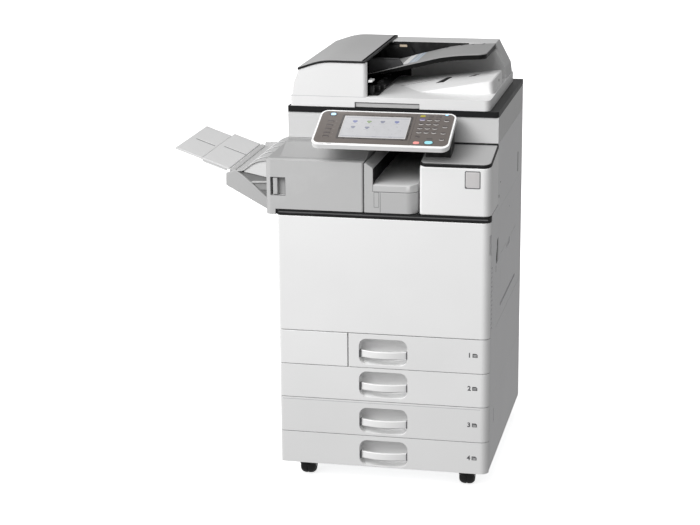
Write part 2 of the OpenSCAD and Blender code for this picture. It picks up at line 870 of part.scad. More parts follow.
module feed_cover() {
    y0 = scanner_front - 2;
    upper = [for (p = cover_top) [p[0], feeder_z + p[1]]];
    lower = [for (i = [len(cover_top) - 1:-1:0]) [cover_top[i][0], feeder_z + cover_top[i][1] - cover_skin]];
    color(grey) {
        along_y(y0, lid_back) polygon(concat(upper, lower));
        // Rounded edge round the hinge's axis
        along_y(y0, lid_back) {
            translate([cover_top[0][0], feeder_z + cover_top[0][1] - cover_skin / 2]) circle(r = cover_edge_r);
        }
    }
}

function tray_line(drop) = [for (p = tray_top) [p[0], feeder_z + p[1] - drop]];

module document_tray() {
    low = tray_line(tray_deep);
    back = [for (i = [len(low) - 1:-1:0]) low[i]];
    color(grey) difference() {
        union() {
            along_y(tray_y[0], tray_y[1]) polygon(concat(tray_line(0), back));
            // Rounded edge round the hinge's axis
            along_y(tray_y[0], tray_y[1]) {
                translate([tray_top[0][0], feeder_z + tray_top[0][1] - tray_deep / 2]) circle(r = tray_edge_r);
            }
        }
        translate([tray_top[6][0], tray_y[0], feeder_z]) linear_extrude(110) mirror([1, 0]) corner_cut(24);
    }
}

// Outline of a fence: it stands on the tray and keeps its top level
module fence_outline(height) {
    z0 = feeder_z + 0.6;
    polygon([[-107, z0 + 32], [-72, z0 + 41], [-8, z0 + 53.6], [-8, z0 + 60], [-20, z0 + height], [-107, z0 + height]]);
}

module document_fence_front() {
    color(dark) along_y(8, 12) fence_outline(75);
}

module document_fence_rear() {
    color(dark) along_y(190, 194) fence_outline(84);
}

module document_exit_tray() {
    z0 = feeder_z;
    color(light) difference() {
        along_y(-97, 160) polygon([[60, z0], [115, z0 + 2], [258, z0 + 37], [263, z0 + 30], [264, z0]]);
        translate([264, -97, z0 - 1]) linear_extrude(60) mirror([1, 0]) corner_cut(12);
    }
}

roller_x = -152;
roller_z = feeder_z + 62;

module pickup_roller() {
    color(dark) translate([roller_x, 0, roller_z]) rotate([-90, 0, 0]) {
        translate([0, 0, 60]) cylinder(r = 15, h = 80);
        translate([0, 0, mouth_front - 7]) cylinder(r = 4, h = mouth_back - mouth_front + 14);
    }
}

// ---------------------------------------------------------------- operation panel

// The panel's own plane: X across, Y up the face from its bottom edge, Z out of the face
module on_panel() {
    translate([panel_left, panel_y, panel_z]) rotate([panel_tilt, 0, 0]) children();
}

module key_shape(uv, w, h, z0, z1) {
    translate([uv[0] - w / 2, -uv[1] - h / 2, z0]) linear_extrude(z1 - z0) round_rect(w, h, min(w, h) / 2 - 0.2);
}

// Height of the panel's underside at a given depth, less the bracket's clearance
function under_panel(y) = panel_z - (panel_y - y) * tan(panel_tilt) - panel_t / cos(panel_tilt) - 1.5;

module panel_bracket() {
    y0 = scanner_front - 100;
    y1 = scanner_front - 33;
    color(dark) {
        along_x(110, 178) {
            polygon([[y0, block_top + 3.5], [y1, block_top + 19.3], [y1, under_panel(y1)], [y0, under_panel(y0)]]);
        }
        // Neck on the scanner's front that holds the panel's hinge pin
        along_x(-40, 40) {
            translate([panel_hinge_y, panel_hinge_z - panel_barrel_r]) square([22.5, 2 * panel_barrel_r]);
            translate([panel_hinge_y, panel_hinge_z]) circle(r = panel_barrel_r);
        }
        along_x(-62, 62) translate([panel_hinge_y, panel_hinge_z]) circle(r = panel_pin_r);
    }
}

module key_pockets(grow, z0, z1) {
    key_shape(home_uv, 15 + grow, 11 + grow, z0, z1);
    key_shape(stop_uv, 17 + grow, 11 + grow, z0, z1);
    key_shape(start_uv, 22 + grow, 14 + grow, z0, z1);
}

module panel_case() {
    color(white) {
        on_panel() difference() {
            translate([0, -panel_len, -panel_t]) linear_extrude(panel_t) round_rect(panel_w, panel_len, panel_r);
            translate([face_border, -panel_len + 10, -face_t]) linear_extrude(face_t + 1) {
                round_rect(panel_w - 2 * face_border, panel_len - 10 - face_border, panel_r - face_border);
            }
            key_pockets(2 * key_fit, -face_t - key_deep, 0);
        }
        // Hinge barrels under the back edge
        for (x = [-60, 42]) difference() {
            along_x(x, x + 18) {
                translate([panel_hinge_y - 5, panel_hinge_z]) square([10, 12]);
                translate([panel_hinge_y, panel_hinge_z]) circle(r = panel_barrel_r);
            }
            along_x(x - 1, x + 19) translate([panel_hinge_y, panel_hinge_z]) circle(r = panel_pin_r + running_gap);
        }
    }
}

module panel_face() {
    color([0.33, 0.31, 0.30]) on_panel() difference() {
        translate([face_border, -panel_len + 10, -face_t]) linear_extrude(face_t) {
            round_rect(panel_w - 2 * face_border, panel_len - 10 - face_border, panel_r - face_border);
        }
        translate([screen_u[0], -screen_v[1], -1]) {
            cube([screen_u[1] - screen_u[0], screen_v[1] - screen_v[0], 2]);
        }
        key_pockets(2 * key_fit, -face_t - 1, 1);
    }
}

module touch_screen() {
    color([0.86, 0.90, 0.92]) on_panel() translate([screen_u[0], -screen_v[1], -1]) {
        cube([screen_u[1] - screen_u[0], screen_v[1] - screen_v[0], 0.9]);
    }
}

module home_key() {
    color([0.65, 0.85, 1.0]) on_panel() key_shape(home_uv, 15, 11, -face_t - 1, key_rise);
}

module stop_key() {
    color([0.90, 0.45, 0.42]) on_panel() key_shape(stop_uv, 17, 11, -face_t - 1, key_rise);
}

module start_key() {
    color([0.45, 0.80, 0.85]) on_panel() key_shape(start_uv, 22, 14, -face_t - 1, key_rise);
}

module keypad() {
    color([0.24, 0.22, 0.22]) on_panel() for (u = keypad_u, v = keypad_v) key_shape([u, v], 13, 9, 0, key_rise);
}

// ---------------------------------------------------------------- the nodes

place() base_plate();
place() feeder_frame();
place() main_frame();
place() left_cover();
place() rear_cover();
place() right_cover();
place() right_door();
place() bypass_tray();
place() feeder_door();
place() front_door();
place() waste_toner_door();
place() waste_toner_bottle();
place() toner_cartridges();
place() fuser_unit();
place() body_trim();
for (i = [0:3]) {
    place() drawer_front(i);
    place() drawer_tray(i);
    place() caster_fork(i);
    place() caster_wheel(i);
}
place() finisher_body();
place() finisher_cover();
place() output_tray_base();
place() output_tray_plate();
place() output_tray_extension();
place() exit_unit();
place() right_top_cover();
place() scanner_body();
place() platen_frame();
place() platen_glass();
place() scan_carriage();
place() platen_lid();
place() platen_pad();
place() feeder_housing();
place() feeder_rear_housing();
place() feed_cover();
place() document_tray();
place() document_fence_front();
place() document_fence_rear();
place() document_exit_tray();
place() pickup_roller();
place() panel_bracket();
place() panel_case();
place() panel_face();
place() touch_screen();
place() home_key();
place() start_key();
place() stop_key();
place() keypad();
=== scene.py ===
"""Looks of the photocopier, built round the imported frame. The helpers take millimetres of the design:
X and Y from the middle of the main body, Z from the floor."""

import math

import bmesh
import bpy
from mathutils import Matrix, Vector


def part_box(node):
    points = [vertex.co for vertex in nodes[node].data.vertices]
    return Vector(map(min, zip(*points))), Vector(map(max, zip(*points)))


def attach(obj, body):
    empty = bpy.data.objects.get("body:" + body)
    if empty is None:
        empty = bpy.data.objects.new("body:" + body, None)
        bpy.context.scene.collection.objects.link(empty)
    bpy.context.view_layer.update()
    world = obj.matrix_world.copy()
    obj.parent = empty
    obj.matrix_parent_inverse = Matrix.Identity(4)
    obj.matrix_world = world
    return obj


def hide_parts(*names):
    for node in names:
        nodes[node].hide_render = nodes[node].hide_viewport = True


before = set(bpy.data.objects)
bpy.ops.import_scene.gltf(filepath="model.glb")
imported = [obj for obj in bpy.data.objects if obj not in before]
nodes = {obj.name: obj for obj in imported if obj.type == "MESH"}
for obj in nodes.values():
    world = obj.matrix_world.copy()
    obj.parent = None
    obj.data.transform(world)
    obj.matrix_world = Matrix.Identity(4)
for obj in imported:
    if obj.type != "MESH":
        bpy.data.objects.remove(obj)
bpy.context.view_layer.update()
scene = bpy.context.scene

# --- where things are

HALF_W = 293.5  # half the body's width
FRONT = -342.5  # the body's front face
door_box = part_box("front_door")
SHIFT_X = (door_box[0].x + door_box[1].x) / 2
SHIFT_Y = door_box[0].y - FRONT / 1000

LID_Z, FEEDER_Z = 1045, 1075  # undersides of the platen lid and of the feeder
SCANNER_FRONT = FRONT + 143
SPLIT_X = -99  # seam between the small panel and drawer 1
POCKET_Z = (391, 296, 190, 94.5)  # middles of the handle pockets, drawer 1 first
GRIP_DROP = 9  # how far a grip's middle lies below its pocket's
NUMBER_Z = (396.7, 301.6, 195.7, 98.9)  # middles of the drawer numbers
TRAY_FLOOR_Z = (345, 248, 146, 62)  # undersides of the drawer trays
FIN_Z, FIN_LEFT = 786, -325.5  # the finisher's underside and left face
TRAY_RISE = math.radians(19.4)
PLATE_LENGTH = 83  # the output tray's plate, from hinge to fold
JOINT_X, JOINT_Z = FIN_LEFT - 110, FIN_Z + 98
FOLD_X = JOINT_X - PLATE_LENGTH * math.cos(TRAY_RISE)
FOLD_Z = JOINT_Z + PLATE_LENGTH * math.sin(TRAY_RISE)
TRAY_FRONT_Y = FRONT + 42
PANEL_TILT = 22.4  # degrees
QUARTER_TURN = [math.radians(a) for a in range(0, 91, 15)]


def at(x, y, z):
    """A design point in the row frame, in metres."""
    return Vector((x / 1000 + SHIFT_X, y / 1000 + SHIFT_Y, z / 1000))


# The panel face's own frame: X right and Y up from its top left corner, Z out of the face
PANEL = (Matrix.Translation(at(-192.5, SCANNER_FRONT - 15.5, LID_Z - 5.7))
         @ Matrix.Rotation(math.radians(PANEL_TILT), 4, "X"))

# --- materials


def lin(c):
    """A screen value made linear."""
    return c / 12.92 if c <= 0.04045 else ((c + 0.055) / 1.055) ** 2.4


def colour(rgb):
    return tuple(lin(c) for c in rgb) + (1.0,)


def new_material(name):
    """An empty material, with its tree, its shader and its object coordinates."""
    m = bpy.data.materials.new(name)
    m.use_nodes = True
    tree = m.node_tree
    tree.nodes.clear()
    out = tree.nodes.new("ShaderNodeOutputMaterial")
    bsdf = tree.nodes.new("ShaderNodeBsdfPrincipled")
    tree.links.new(bsdf.outputs["BSDF"], out.inputs["Surface"])
    return m, tree, bsdf, tree.nodes.new("ShaderNodeTexCoord").outputs["Object"]


def noise(tree, coord, scale, detail=2.0, rough=0.5):
    n = tree.nodes.new("ShaderNodeTexNoise")
    n.inputs["Scale"].default_value = scale
    n.inputs["Detail"].default_value = detail
    n.inputs["Roughness"].default_value = rough
    tree.links.new(coord, n.inputs["Vector"])
    return n.outputs["Fac"]


def spread(tree, fac, lo, hi, from_lo=0.25, from_hi=0.75):
    r = tree.nodes.new("ShaderNodeMapRange")
    r.inputs["From Min"].default_value = from_lo
    r.inputs["From Max"].default_value = from_hi
    r.inputs["To Min"].default_value = lo
    r.inputs["To Max"].default_value = hi
    tree.links.new(fac, r.inputs["Value"])
    return r.outputs["Result"]


def mixed(tree, fac, a, b):
    """A colour between two fixed ones."""
    m = tree.nodes.new("ShaderNodeMix")
    m.data_type = "RGBA"
    m.inputs[6].default_value = a
    m.inputs[7].default_value = b
    tree.links.new(fac, m.inputs[0])
    return m.outputs[2]


def bumped(tree, bsdf, height, strength, depth):
    """Fine relief on the shader's surface, depth in metres."""
    bump = tree.nodes.new("ShaderNodeBump")
    bump.inputs["Strength"].default_value = strength
    bump.inputs["Distance"].default_value = depth
    tree.links.new(height, bump.inputs["Height"])
    tree.links.new(bump.outputs["Normal"], bsdf.inputs["Normal"])


def plastic(name, rgb, rough=0.42, grain=2200.0, depth=0.00006, wear=0.06, tone=0.02, spec=0.5, coat=0.0,
        metal=0.0):
    """Moulded plastic: a fine spark-eroded texture, a slow drift of tone, patchy gloss and rubbed edges."""
    m, tree, bsdf, coord = new_material(name)
    fine = noise(tree, coord, grain, 3.0, 0.6)
    patch = noise(tree, coord, 38.0, 4.0, 0.55)
    slow = noise(tree, coord, 4.5, 2.0)
    c = colour(rgb)
    darker = tuple(v * (1 - tone) for v in c[:3]) + (1,)
    lighter = tuple(min(1.0, v * (1 + tone)) for v in c[:3]) + (1,)
    body = mixed(tree, spread(tree, slow, 0.0, 1.0), darker, lighter)
    edge = tree.nodes.new("ShaderNodeNewGeometry").outputs["Pointiness"]
    rub = spread(tree, edge, 0.0, 1.0, 0.53, 0.6)
    scuffed = tree.nodes.new("ShaderNodeMath")
    scuffed.operation = "MULTIPLY"
    tree.links.new(rub, scuffed.inputs[0])
    tree.links.new(spread(tree, patch, 0.0, 1.0, 0.4, 0.7), scuffed.inputs[1])
    worn = tree.nodes.new("ShaderNodeMix")
    worn.data_type = "RGBA"
    worn.inputs[7].default_value = tuple(min(1.0, v + (0.75 - v) * wear + wear * 0.04) for v in c[:3]) + (1,)
    tree.links.new(scuffed.outputs[0], worn.inputs[0])
    tree.links.new(body, worn.inputs[6])
    tree.links.new(worn.outputs[2], bsdf.inputs["Base Color"])
    tree.links.new(spread(tree, patch, rough - 0.02, rough + 0.02), bsdf.inputs["Roughness"])
    bumped(tree, bsdf, fine, 0.35, depth)
    bsdf.inputs["Specular IOR Level"].default_value = spec
    bsdf.inputs["Coat Weight"].default_value = coat
    bsdf.inputs["Metallic"].default_value = metal
    return m


def lit(name, rgb, glow, rough=0.25, grain=900.0):
    """A lit key or display: smooth plastic with a soft glow that varies a little over its face."""
    m, tree, bsdf, coord = new_material(name)
    c = colour(rgb)
    low = tuple(v * 0.94 for v in c[:3]) + (1,)
    shade = mixed(tree, spread(tree, noise(tree, coord, 60.0, 2.0), 0.0, 1.0), low, c)
    tree.links.new(shade, bsdf.inputs["Base Color"])
    tree.links.new(shade, bsdf.inputs["Emission Color"])
    bsdf.inputs["Emission Strength"].default_value = glow
    tree.links.new(spread(tree, noise(tree, coord, 140.0), rough - 0.04, rough + 0.04),
        bsdf.inputs["Roughness"])
    bumped(tree, bsdf, noise(tree, coord, grain), 0.2, 0.00003)
    return m


def glass():
    """Clear platen glass with a faint green tint."""
    m, tree, bsdf, coord = new_material("platen_glass_mat")
    tint = mixed(tree, noise(tree, coord, 6.0), (0.80, 0.88, 0.88, 1), (0.90, 0.95, 0.95, 1))
    tree.links.new(tint, bsdf.inputs["Base Color"])
    tree.links.new(spread(tree, noise(tree, coord, 50.0), 0.02, 0.06), bsdf.inputs["Roughness"])
    bsdf.inputs["Transmission Weight"].default_value = 0.9
    bsdf.inputs["IOR"].default_value = 1.5
    return m


def sheet_metal():
    """Zinc-plated sheet: fine rolling lines, spangle and a soft gloss."""
    m, tree, bsdf, coord = new_material("frame_steel_mat")
    stretch = tree.nodes.new("ShaderNodeMapping")
    stretch.inputs["Scale"].default_value = (6.0, 6.0, 400.0)
    tree.links.new(coord, stretch.inputs["Vector"])
    lines = noise(tree, stretch.outputs["Vector"], 3.0, 3.0)
    spangle = tree.nodes.new("ShaderNodeTexVoronoi")
    spangle.inputs["Scale"].default_value = 90.0
    tree.links.new(coord, spangle.inputs["Vector"])
    tone = mixed(tree, spread(tree, spangle.outputs["Distance"], 0.0, 1.0, 0.0, 0.8), (0.46, 0.48, 0.50, 1),
        (0.62, 0.64, 0.66, 1))
    tree.links.new(tone, bsdf.inputs["Base Color"])
    bsdf.inputs["Metallic"].default_value = 0.85
    tree.links.new(spread(tree, lines, 0.34, 0.48), bsdf.inputs["Roughness"])
    bumped(tree, bsdf, lines, 0.3, 0.00005)
    return m


# Plain grey mouldings: brightness and roughness
GREYS = {
    "white": (0.945, 0.4), "light": (0.8, 0.45), "tray_light": (0.86, 0.45), "mid": (0.66, 0.48),
    "label_white": (0.93, 0.35), "exit_grey": (0.74, 0.45), "exit_top": (0.77, 0.42),
    # fin_top_shaded is the finisher's grey made darker than fin_front: painted shade for the weaker light on
    # its top
    # scanner is a greyer white: painted shade for the scanner front's downward slant and the lid above it
    "scanner": (0.82, 0.42), "fin_top_shaded": (0.63, 0.46), "fin_front": (0.745, 0.45), "bracket": (0.72, 0.45),
    # drawer_white_shaded and drawer_low_shaded are the door's white made darker, the lower drawers more:
    # painted shade for the light falling off towards the bottom
    # recess: a grey for the back of the lid's hand recess, painted shade
    "recess": (0.72, 0.5), "lid_white": (0.905, 0.4), "drawer_white_shaded": (0.925, 0.42),
    "drawer_low_shaded": (0.9, 0.42), "grip": (0.93, 0.38), "shade_mid": (0.47, 0.5), "mid_low": (0.58, 0.5),
}
M = {
    "side": plastic("side_shell", (0.90, 0.90, 0.905), 0.45),
    # grey is made lighter to make up for the shade under the document tray on the rear housing's wall:
    # painted light
    "grey": plastic("grey_shell", (0.80, 0.80, 0.80), 0.50, depth=0.00009),
    "shade": plastic("dark_grey_shell", (0.34, 0.34, 0.345), 0.5),
    "black": plastic("black_shell", (0.085, 0.085, 0.09), 0.40, wear=0.12, spec=0.35),
    "matt_black": plastic("matt_black_shell", (0.085, 0.085, 0.09), 0.6, grain=1500, wear=0.05),
    "rubber": plastic("caster_rubber", (0.09, 0.09, 0.095), 0.38, grain=700, depth=0.0001, wear=0.15),
    "steel": sheet_metal(),
    "bright_steel": plastic("bright_steel_mat", (0.78, 0.79, 0.80), 0.24, grain=500, metal=1.0),
    "glass": glass(),
    "pad": plastic("pad_sheet", (0.95, 0.95, 0.93), 0.7, grain=400, depth=0.0002),
    "panel": plastic("panel_face_mat", (0.40, 0.375, 0.36), 0.42, grain=1200, wear=0.1),
    "bezel": plastic("screen_bezel", (0.26, 0.245, 0.24), 0.28),
    "screen": lit("display_mat", (0.72, 0.72, 0.73), 0.08, 0.3),
    "blue_key": lit("home_key_mat", (0.72, 0.86, 0.97), 0.35),
    "red_key": lit("stop_key_mat", (0.93, 0.60, 0.58), 0.12),
    "teal_key": lit("start_key_mat", (0.58, 0.83, 0.87), 0.2),
    "key": plastic("dark_key", (0.29, 0.265, 0.26), 0.38, grain=1600, wear=0.18),
    # key_glint: painted highlight on the keys and the screen's edge
    "key_glint": plastic("key_painted_highlight", (0.80, 0.79, 0.78), 0.3, grain=1600),
    "yellow_key": plastic("yellow_key", (0.66, 0.62, 0.16), 0.4),
    "violet_key": plastic("violet_key", (0.42, 0.38, 0.58), 0.4),
    "lamp_blue": lit("lamp_blue_mat", (0.55, 0.78, 1.0), 1.2),
    "bottle": plastic("milky_bottle", (0.82, 0.83, 0.79), 0.5, grain=300, depth=0.0002),
    "ink": plastic("marking_grey", (0.33, 0.33, 0.34), 0.5),
    "label_blue": plastic("scale_label_blue", (0.70, 0.75, 0.80), 0.35),
    "roller": plastic("roller_rubber_mat", (0.20, 0.20, 0.21), 0.7, grain=500, depth=0.0003),
    "top_grey": plastic("top_grey_shell", (0.68, 0.68, 0.68), 0.5, depth=0.00009),
    "tray_grey": plastic("tray_grey_shell", (0.60, 0.60, 0.60), 0.5, depth=0.00009),
    "seam": plastic("seam_shadow", (0.40, 0.40, 0.41), 0.6),
    "seam_light": plastic("seam_soft_shadow", (0.74, 0.74, 0.75), 0.6),
    # pit is near-black painted shade: it fills dark openings and the feeder mouth's dark inside
    "pit": plastic("pit_shade_black", (0.05, 0.05, 0.052), 0.7, grain=1200, wear=0.04, spec=0.25),
    "deep_black": plastic("deep_black_shell", (0.04, 0.04, 0.042), 0.4, wear=0.06, spec=0.2),
    "window": plastic("window_plate_mat", (0.83, 0.82, 0.82), 0.35),
    "shade_dark": plastic("deep_grey_shell", (0.22, 0.22, 0.225), 0.5),
    # key_glint_low: a softer painted highlight on the keys, and also the plain grey of the function lamps
    "key_glint_low": plastic("key_soft_highlight_and_lamp_grey", (0.50, 0.48, 0.47), 0.35, grain=1600),
    "icon_line": lit("icon_caption", (0.62, 0.62, 0.64), 0.06),
    "screen_bar": lit("screen_bar_mat", (0.69, 0.69, 0.71), 0.06),
    "label_pale": plastic("scale_label_pale", (0.78, 0.81, 0.84), 0.35),
    "label_cream": plastic("fence_label_cream", (0.74, 0.68, 0.60), 0.5),
    "icon_a": lit("icon_blue", (0.50, 0.52, 0.66), 0.06),
    "icon_b": lit("icon_green", (0.56, 0.62, 0.50), 0.06),
    "icon_c": lit("icon_grey", (0.54, 0.55, 0.60), 0.06),
}
for name, (value, rough) in GREYS.items():
    M[name] = plastic(name + "_shell", (value, value, value), rough)
for i, rgb in enumerate([(0.10, 0.10, 0.11), (0.72, 0.64, 0.12), (0.62, 0.18, 0.36), (0.12, 0.42, 0.62)]):
    M[f"toner_{i}"] = plastic(f"toner_knob_{i}", rgb, 0.4)

# --- pieces


SHARP_ANGLE = 38  # degrees; a steeper edge of an unbevelled piece stays sharp


def add(name, points, faces, mat, body, slot=None, bevel=0.0, seg=3, angle=28, matrix=None):
    """A piece from points in design millimetres, or in a tilted plane's own millimetres with matrix."""
    me = bpy.data.meshes.new(name)
    if matrix is None:
        me.from_pydata([at(*p) for p in points], [], faces)
    else:
        me.from_pydata([matrix @ (Vector(p) / 1000) for p in points], [], faces)
    bm = bmesh.new()
    bm.from_mesh(me)
    bmesh.ops.remove_doubles(bm, verts=bm.verts, dist=1e-6)
    bmesh.ops.recalc_face_normals(bm, faces=bm.faces)
    if not bevel:
        for e in bm.edges:
            e.smooth = len(e.link_faces) != 2 or e.calc_face_angle(0) < math.radians(SHARP_ANGLE)
    bm.to_mesh(me)
    bm.free()
    for p in me.polygons:
        p.use_smooth = True
    o = bpy.data.objects.new(name, me)
    scene.collection.objects.link(o)
    me.materials.append(M[mat])
    soften(o, bevel, seg, angle)
    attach(o, body)
    return o


def soften(o, bevel, seg=3, angle=28):
    """Rounded edges, bevel in millimetres, and normals that keep the faces flat."""
    if bevel:
        b = o.modifiers.new("edges", "BEVEL")
        b.width = bevel / 1000
        b.segments = seg
        b.limit_method = "ANGLE"
        b.angle_limit = math.radians(angle)
        b.use_clamp_overlap = True
        b.harden_normals = False
    w = o.modifiers.new("normals", "WEIGHTED_NORMAL")
    w.keep_sharp = True
    w.weight = 50


# How an outline's u and v and a place t along the axis become a point
PUT = {"x": lambda u, v, t: (t, u, v), "y": lambda u, v, t: (u, t, v), "z": lambda u, v, t: (u, v, t)}


def prism(name, outline, axis, a, b, mat, body, **kw):
    """An outline pushed along an axis: (y, z) along x, (x, z) along y, (x, y) along z."""
    n = len(outline)
    put = PUT[axis]
    points = [put(u, v, a) for u, v in outline] + [put(u, v, b) for u, v in outline]
    faces = [list(range(n)), list(range(2 * n - 1, n - 1, -1))]
    faces += [[i, (i + 1) % n, n + (i + 1) % n, n + i] for i in range(n)]
    return add(name, points, faces, mat, body, **kw)


def polar(cx, cy, r, angle, r2=None):
    """A point on a circle, or with r2 on an ellipse of half-widths r and r2; the angle is in degrees."""
    a = math.radians(angle)
    return cx + r * math.cos(a), cy + (r if r2 is None else r2) * math.sin(a)


def corner(cx, cy, r, start, n=7):
    """A quarter circle of points, anticlockwise from the start angle in degrees."""
    return [polar(cx, cy, r, start + 90 * i / (n - 1)) for i in range(n)]


def rrect(x0, x1, y0, y1, r, n=7):
    """A rectangle with round corners; r is one radius, or four from the lower left corner anticlockwise."""
    r = [r] * 4 if not isinstance(r, (list, tuple)) else r
    return (
        corner(x0 + r[0], y0 + r[0], r[0], 180, n)
        + corner(x1 - r[1], y0 + r[1], r[1], 270, n)
        + corner(x1 - r[2], y1 - r[2], r[2], 0, n)
        + corner(x0 + r[3], y1 - r[3], r[3], 90, n)
    )


def tight_rect(x0, x1, y0, y1, r, n=4):
    """A rectangle with round corners, whose radius stays under half of its shorter side."""
    return rrect(x0, x1, y0, y1, min(r, (x1 - x0) / 2.01, (y1 - y0) / 2.01), n)


def spline(p0, p1, p2, p3, t):
    """The Catmull-Rom curve from p1 to p2 at t."""
    square = (2 * p0 - 5 * p1 + 4 * p2 - p3) * t * t
    cube = (3 * p1 - p0 - 3 * p2 + p3) * t ** 3
    return 0.5 * (2 * p1 + (p2 - p0) * t + square + cube)


def flow(points, n=6):
    """A smooth line through the points."""
    p = [points[0], *points, points[-1]]
    out = []
    for four in zip(p, p[1:], p[2:], p[3:]):
        for k in range(n):
            out.append(tuple(spline(*(q[c] for q in four), k / n) for c in range(2)))
    out.append(tuple(points[-1]))
    return out


def ring_faces(n):
    """The faces of a frame whose points go low outer, low inner, high outer, high inner."""
    faces = []
    for i in range(n):
        j = (i + 1) % n
        faces += [[i, j, n + j, n + i], [2 * n + i, 3 * n + i, 3 * n + j, 2 * n + j]]
        faces += [[i, 2 * n + i, 2 * n + j, j], [n + i, n + j, 3 * n + j, 3 * n + i]]
    return faces


def ring(name, outer, inner, axis, a, b, mat, body, **kw):
    """A frame between two outlines with the same number of points."""
    points = [PUT[axis](u, v, t) for t in (a, b) for line in (outer, inner) for u, v in line]
    return add(name, points, ring_faces(len(outer)), mat, body, **kw)


def lathe(name, profile, centre, axis, mat, body, steps=40, **kw):
    """A profile of (radius, place along the axis) turned round the axis through the centre."""
    n = len(profile)
    points = []
    for k in range(steps):
        a = 2 * math.pi * k / steps
        for r, t in profile:
            x, y, z = PUT[axis](r * math.cos(a), r * math.sin(a), t)
            points.append((centre[0] + x, centre[1] + y, centre[2] + z))
    faces = []
    for k in range(steps):
        for i in range(n - 1):
            p, q = k * n + i, ((k + 1) % steps) * n + i
            faces.append([p, p + 1, q + 1, q])
    return add(name, points, faces, mat, body, **kw)


def digit(name, text, height, matrix, mat, body):
    """A plain numeral as a thin raised shape."""
    curve = bpy.data.curves.new(name + "_line", "FONT")
    curve.body = text
    curve.size = height / 1000
    curve.extrude = 0.0002
    curve.offset = 0.0006
    curve.align_x = "CENTER"
    curve.align_y = "CENTER"
    holder = bpy.data.objects.new(name + "_line", curve)
    scene.collection.objects.link(holder)
    bpy.context.view_layer.update()
    me = bpy.data.meshes.new_from_object(holder.evaluated_get(bpy.context.evaluated_depsgraph_get()))
    bpy.data.objects.remove(holder)
    me.name = name
    me.transform(matrix)
    me.materials.clear()
    me.materials.append(M[mat])
    o = bpy.data.objects.new(name, me)
    scene.collection.objects.link(o)
    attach(o, body)
    return o


# --- the CAD nodes that stay: material and softened edges

KEEP = {
    "base_plate": ("steel", 0.4), "feeder_frame": ("steel", 0.4), "main_frame": ("steel", 0.4),
    "left_cover": ("white", 0.8), "rear_cover": ("white", 0.8), "right_cover": ("side", 0.8),
    "right_door": ("side", 0.8), "bypass_tray": ("side", 0.8), "feeder_door": ("side", 0.8),
    "front_door": ("white", 1.6), "waste_toner_door": ("white", 1.2),
    "waste_toner_bottle": ("bottle", 2.0), "toner_cartridges": ("matt_black", 0.8),
    "fuser_unit": ("shade", 1.2), "body_trim": ("black", 1.0),
    # The finisher's top takes the darker copy of its front's grey: painted shade
    "finisher_body": ("fin_top_shaded", 1.5), "finisher_cover": ("fin_front", 2.2),
    "output_tray_base": ("tray_light", 0.8), "output_tray_plate": ("tray_light", 0.8),
    "output_tray_extension": ("tray_light", 0.8),
    "exit_unit": ("light", 1.5), "right_top_cover": ("white", 1.5),
    # The scanner body's greyer white is painted shade.
    "scanner_body": ("scanner", 1.6), "platen_frame": ("black", 1.0), "platen_glass": ("glass", 0.0),
    "scan_carriage": ("matt_black", 0.8), "platen_lid": ("lid_white", 1.5), "platen_pad": ("pad", 0.8),
    # The rear housing's lightened grey is painted light against the tray's shade.
    "feeder_housing": ("white", 1.5), "feeder_rear_housing": ("grey", 1.5), "feed_cover": ("grey", 1.0),
    "document_tray": ("grey", 1.0), "document_fence_front": ("shade_dark", 0.6),
    # The rear fence's pit black is painted shade in the feeder's mouth.
    "document_fence_rear": ("pit", 0.6), "document_exit_tray": ("white", 1.5),
    "pickup_roller": ("roller", 0.6),
    "panel_bracket": ("black", 1.0), "panel_case": ("white", 1.5), "panel_face": ("panel", 0.4),
    "touch_screen": ("screen", 0.2), "home_key": ("blue_key", 0.4), "start_key": ("teal_key", 0.4),
    "stop_key": ("red_key", 0.4), "keypad": ("key", 0.4),
}
for i in range(1, 5):
    # Drawer fronts are darker than the door, the lower two more: painted shade
    KEEP[f"drawer_{i}_front"] = ("drawer_low_shaded" if i > 2 else "drawer_white_shaded", 1.4)
    KEEP[f"drawer_{i}_tray"] = ("mid", 0.6)
for where in ("front_left", "front_right", "rear_left", "rear_right"):
    KEEP["caster_fork_" + where] = ("black", 0.6)
    KEEP["caster_wheel_" + where] = ("rubber", 0.8)

for name, (mat, width) in KEEP.items():
    o = nodes[name]
    o.data.materials.clear()
    o.data.materials.append(M[mat])
    weld = o.modifiers.new("weld", "WELD")
    weld.merge_threshold = 0.00001
    flat = o.modifiers.new("flat", "DECIMATE")
    flat.decimate_type = "DISSOLVE"
    flat.angle_limit = math.radians(0.6)
    if width:
        soften(o, width)

# --- more builders


def loft(name, sections, mat, body, **kw):
    """A solid through loops of points that all have the same length."""
    n = len(sections[0])
    points = [p for s in sections for p in s]
    last = (len(sections) - 1) * n
    faces = [list(range(n)), [last + n - 1 - i for i in range(n)]]
    for k in range(len(sections) - 1):
        a, b = k * n, (k + 1) * n
        faces += [[a + i, a + (i + 1) % n, b + (i + 1) % n, b + i] for i in range(n)]
    return add(name, points, faces, mat, body, **kw)


def between(name, outline, low, high, mat, body, **kw):
    """A solid over a plan outline, between two heights given for each x and y."""
    return loft(name, [[(x, y, low(x, y)) for x, y in outline], [(x, y, high(x, y)) for x, y in outline]],
        mat, body, **kw)


def mark(name, axis, face, a, b, c, d, mat, body, proud=0.15, deep=0.6, r=0.4, **kw):
    """A thin mark on a flat face; a..b and c..d are its size in the other two directions."""
    out = 1 if face > 0 else -1
    return prism(name, tight_rect(a, b, c, d, r), axis, face - out * deep, face + out * proud, mat, body,
        bevel=0.07, seg=1, **kw)


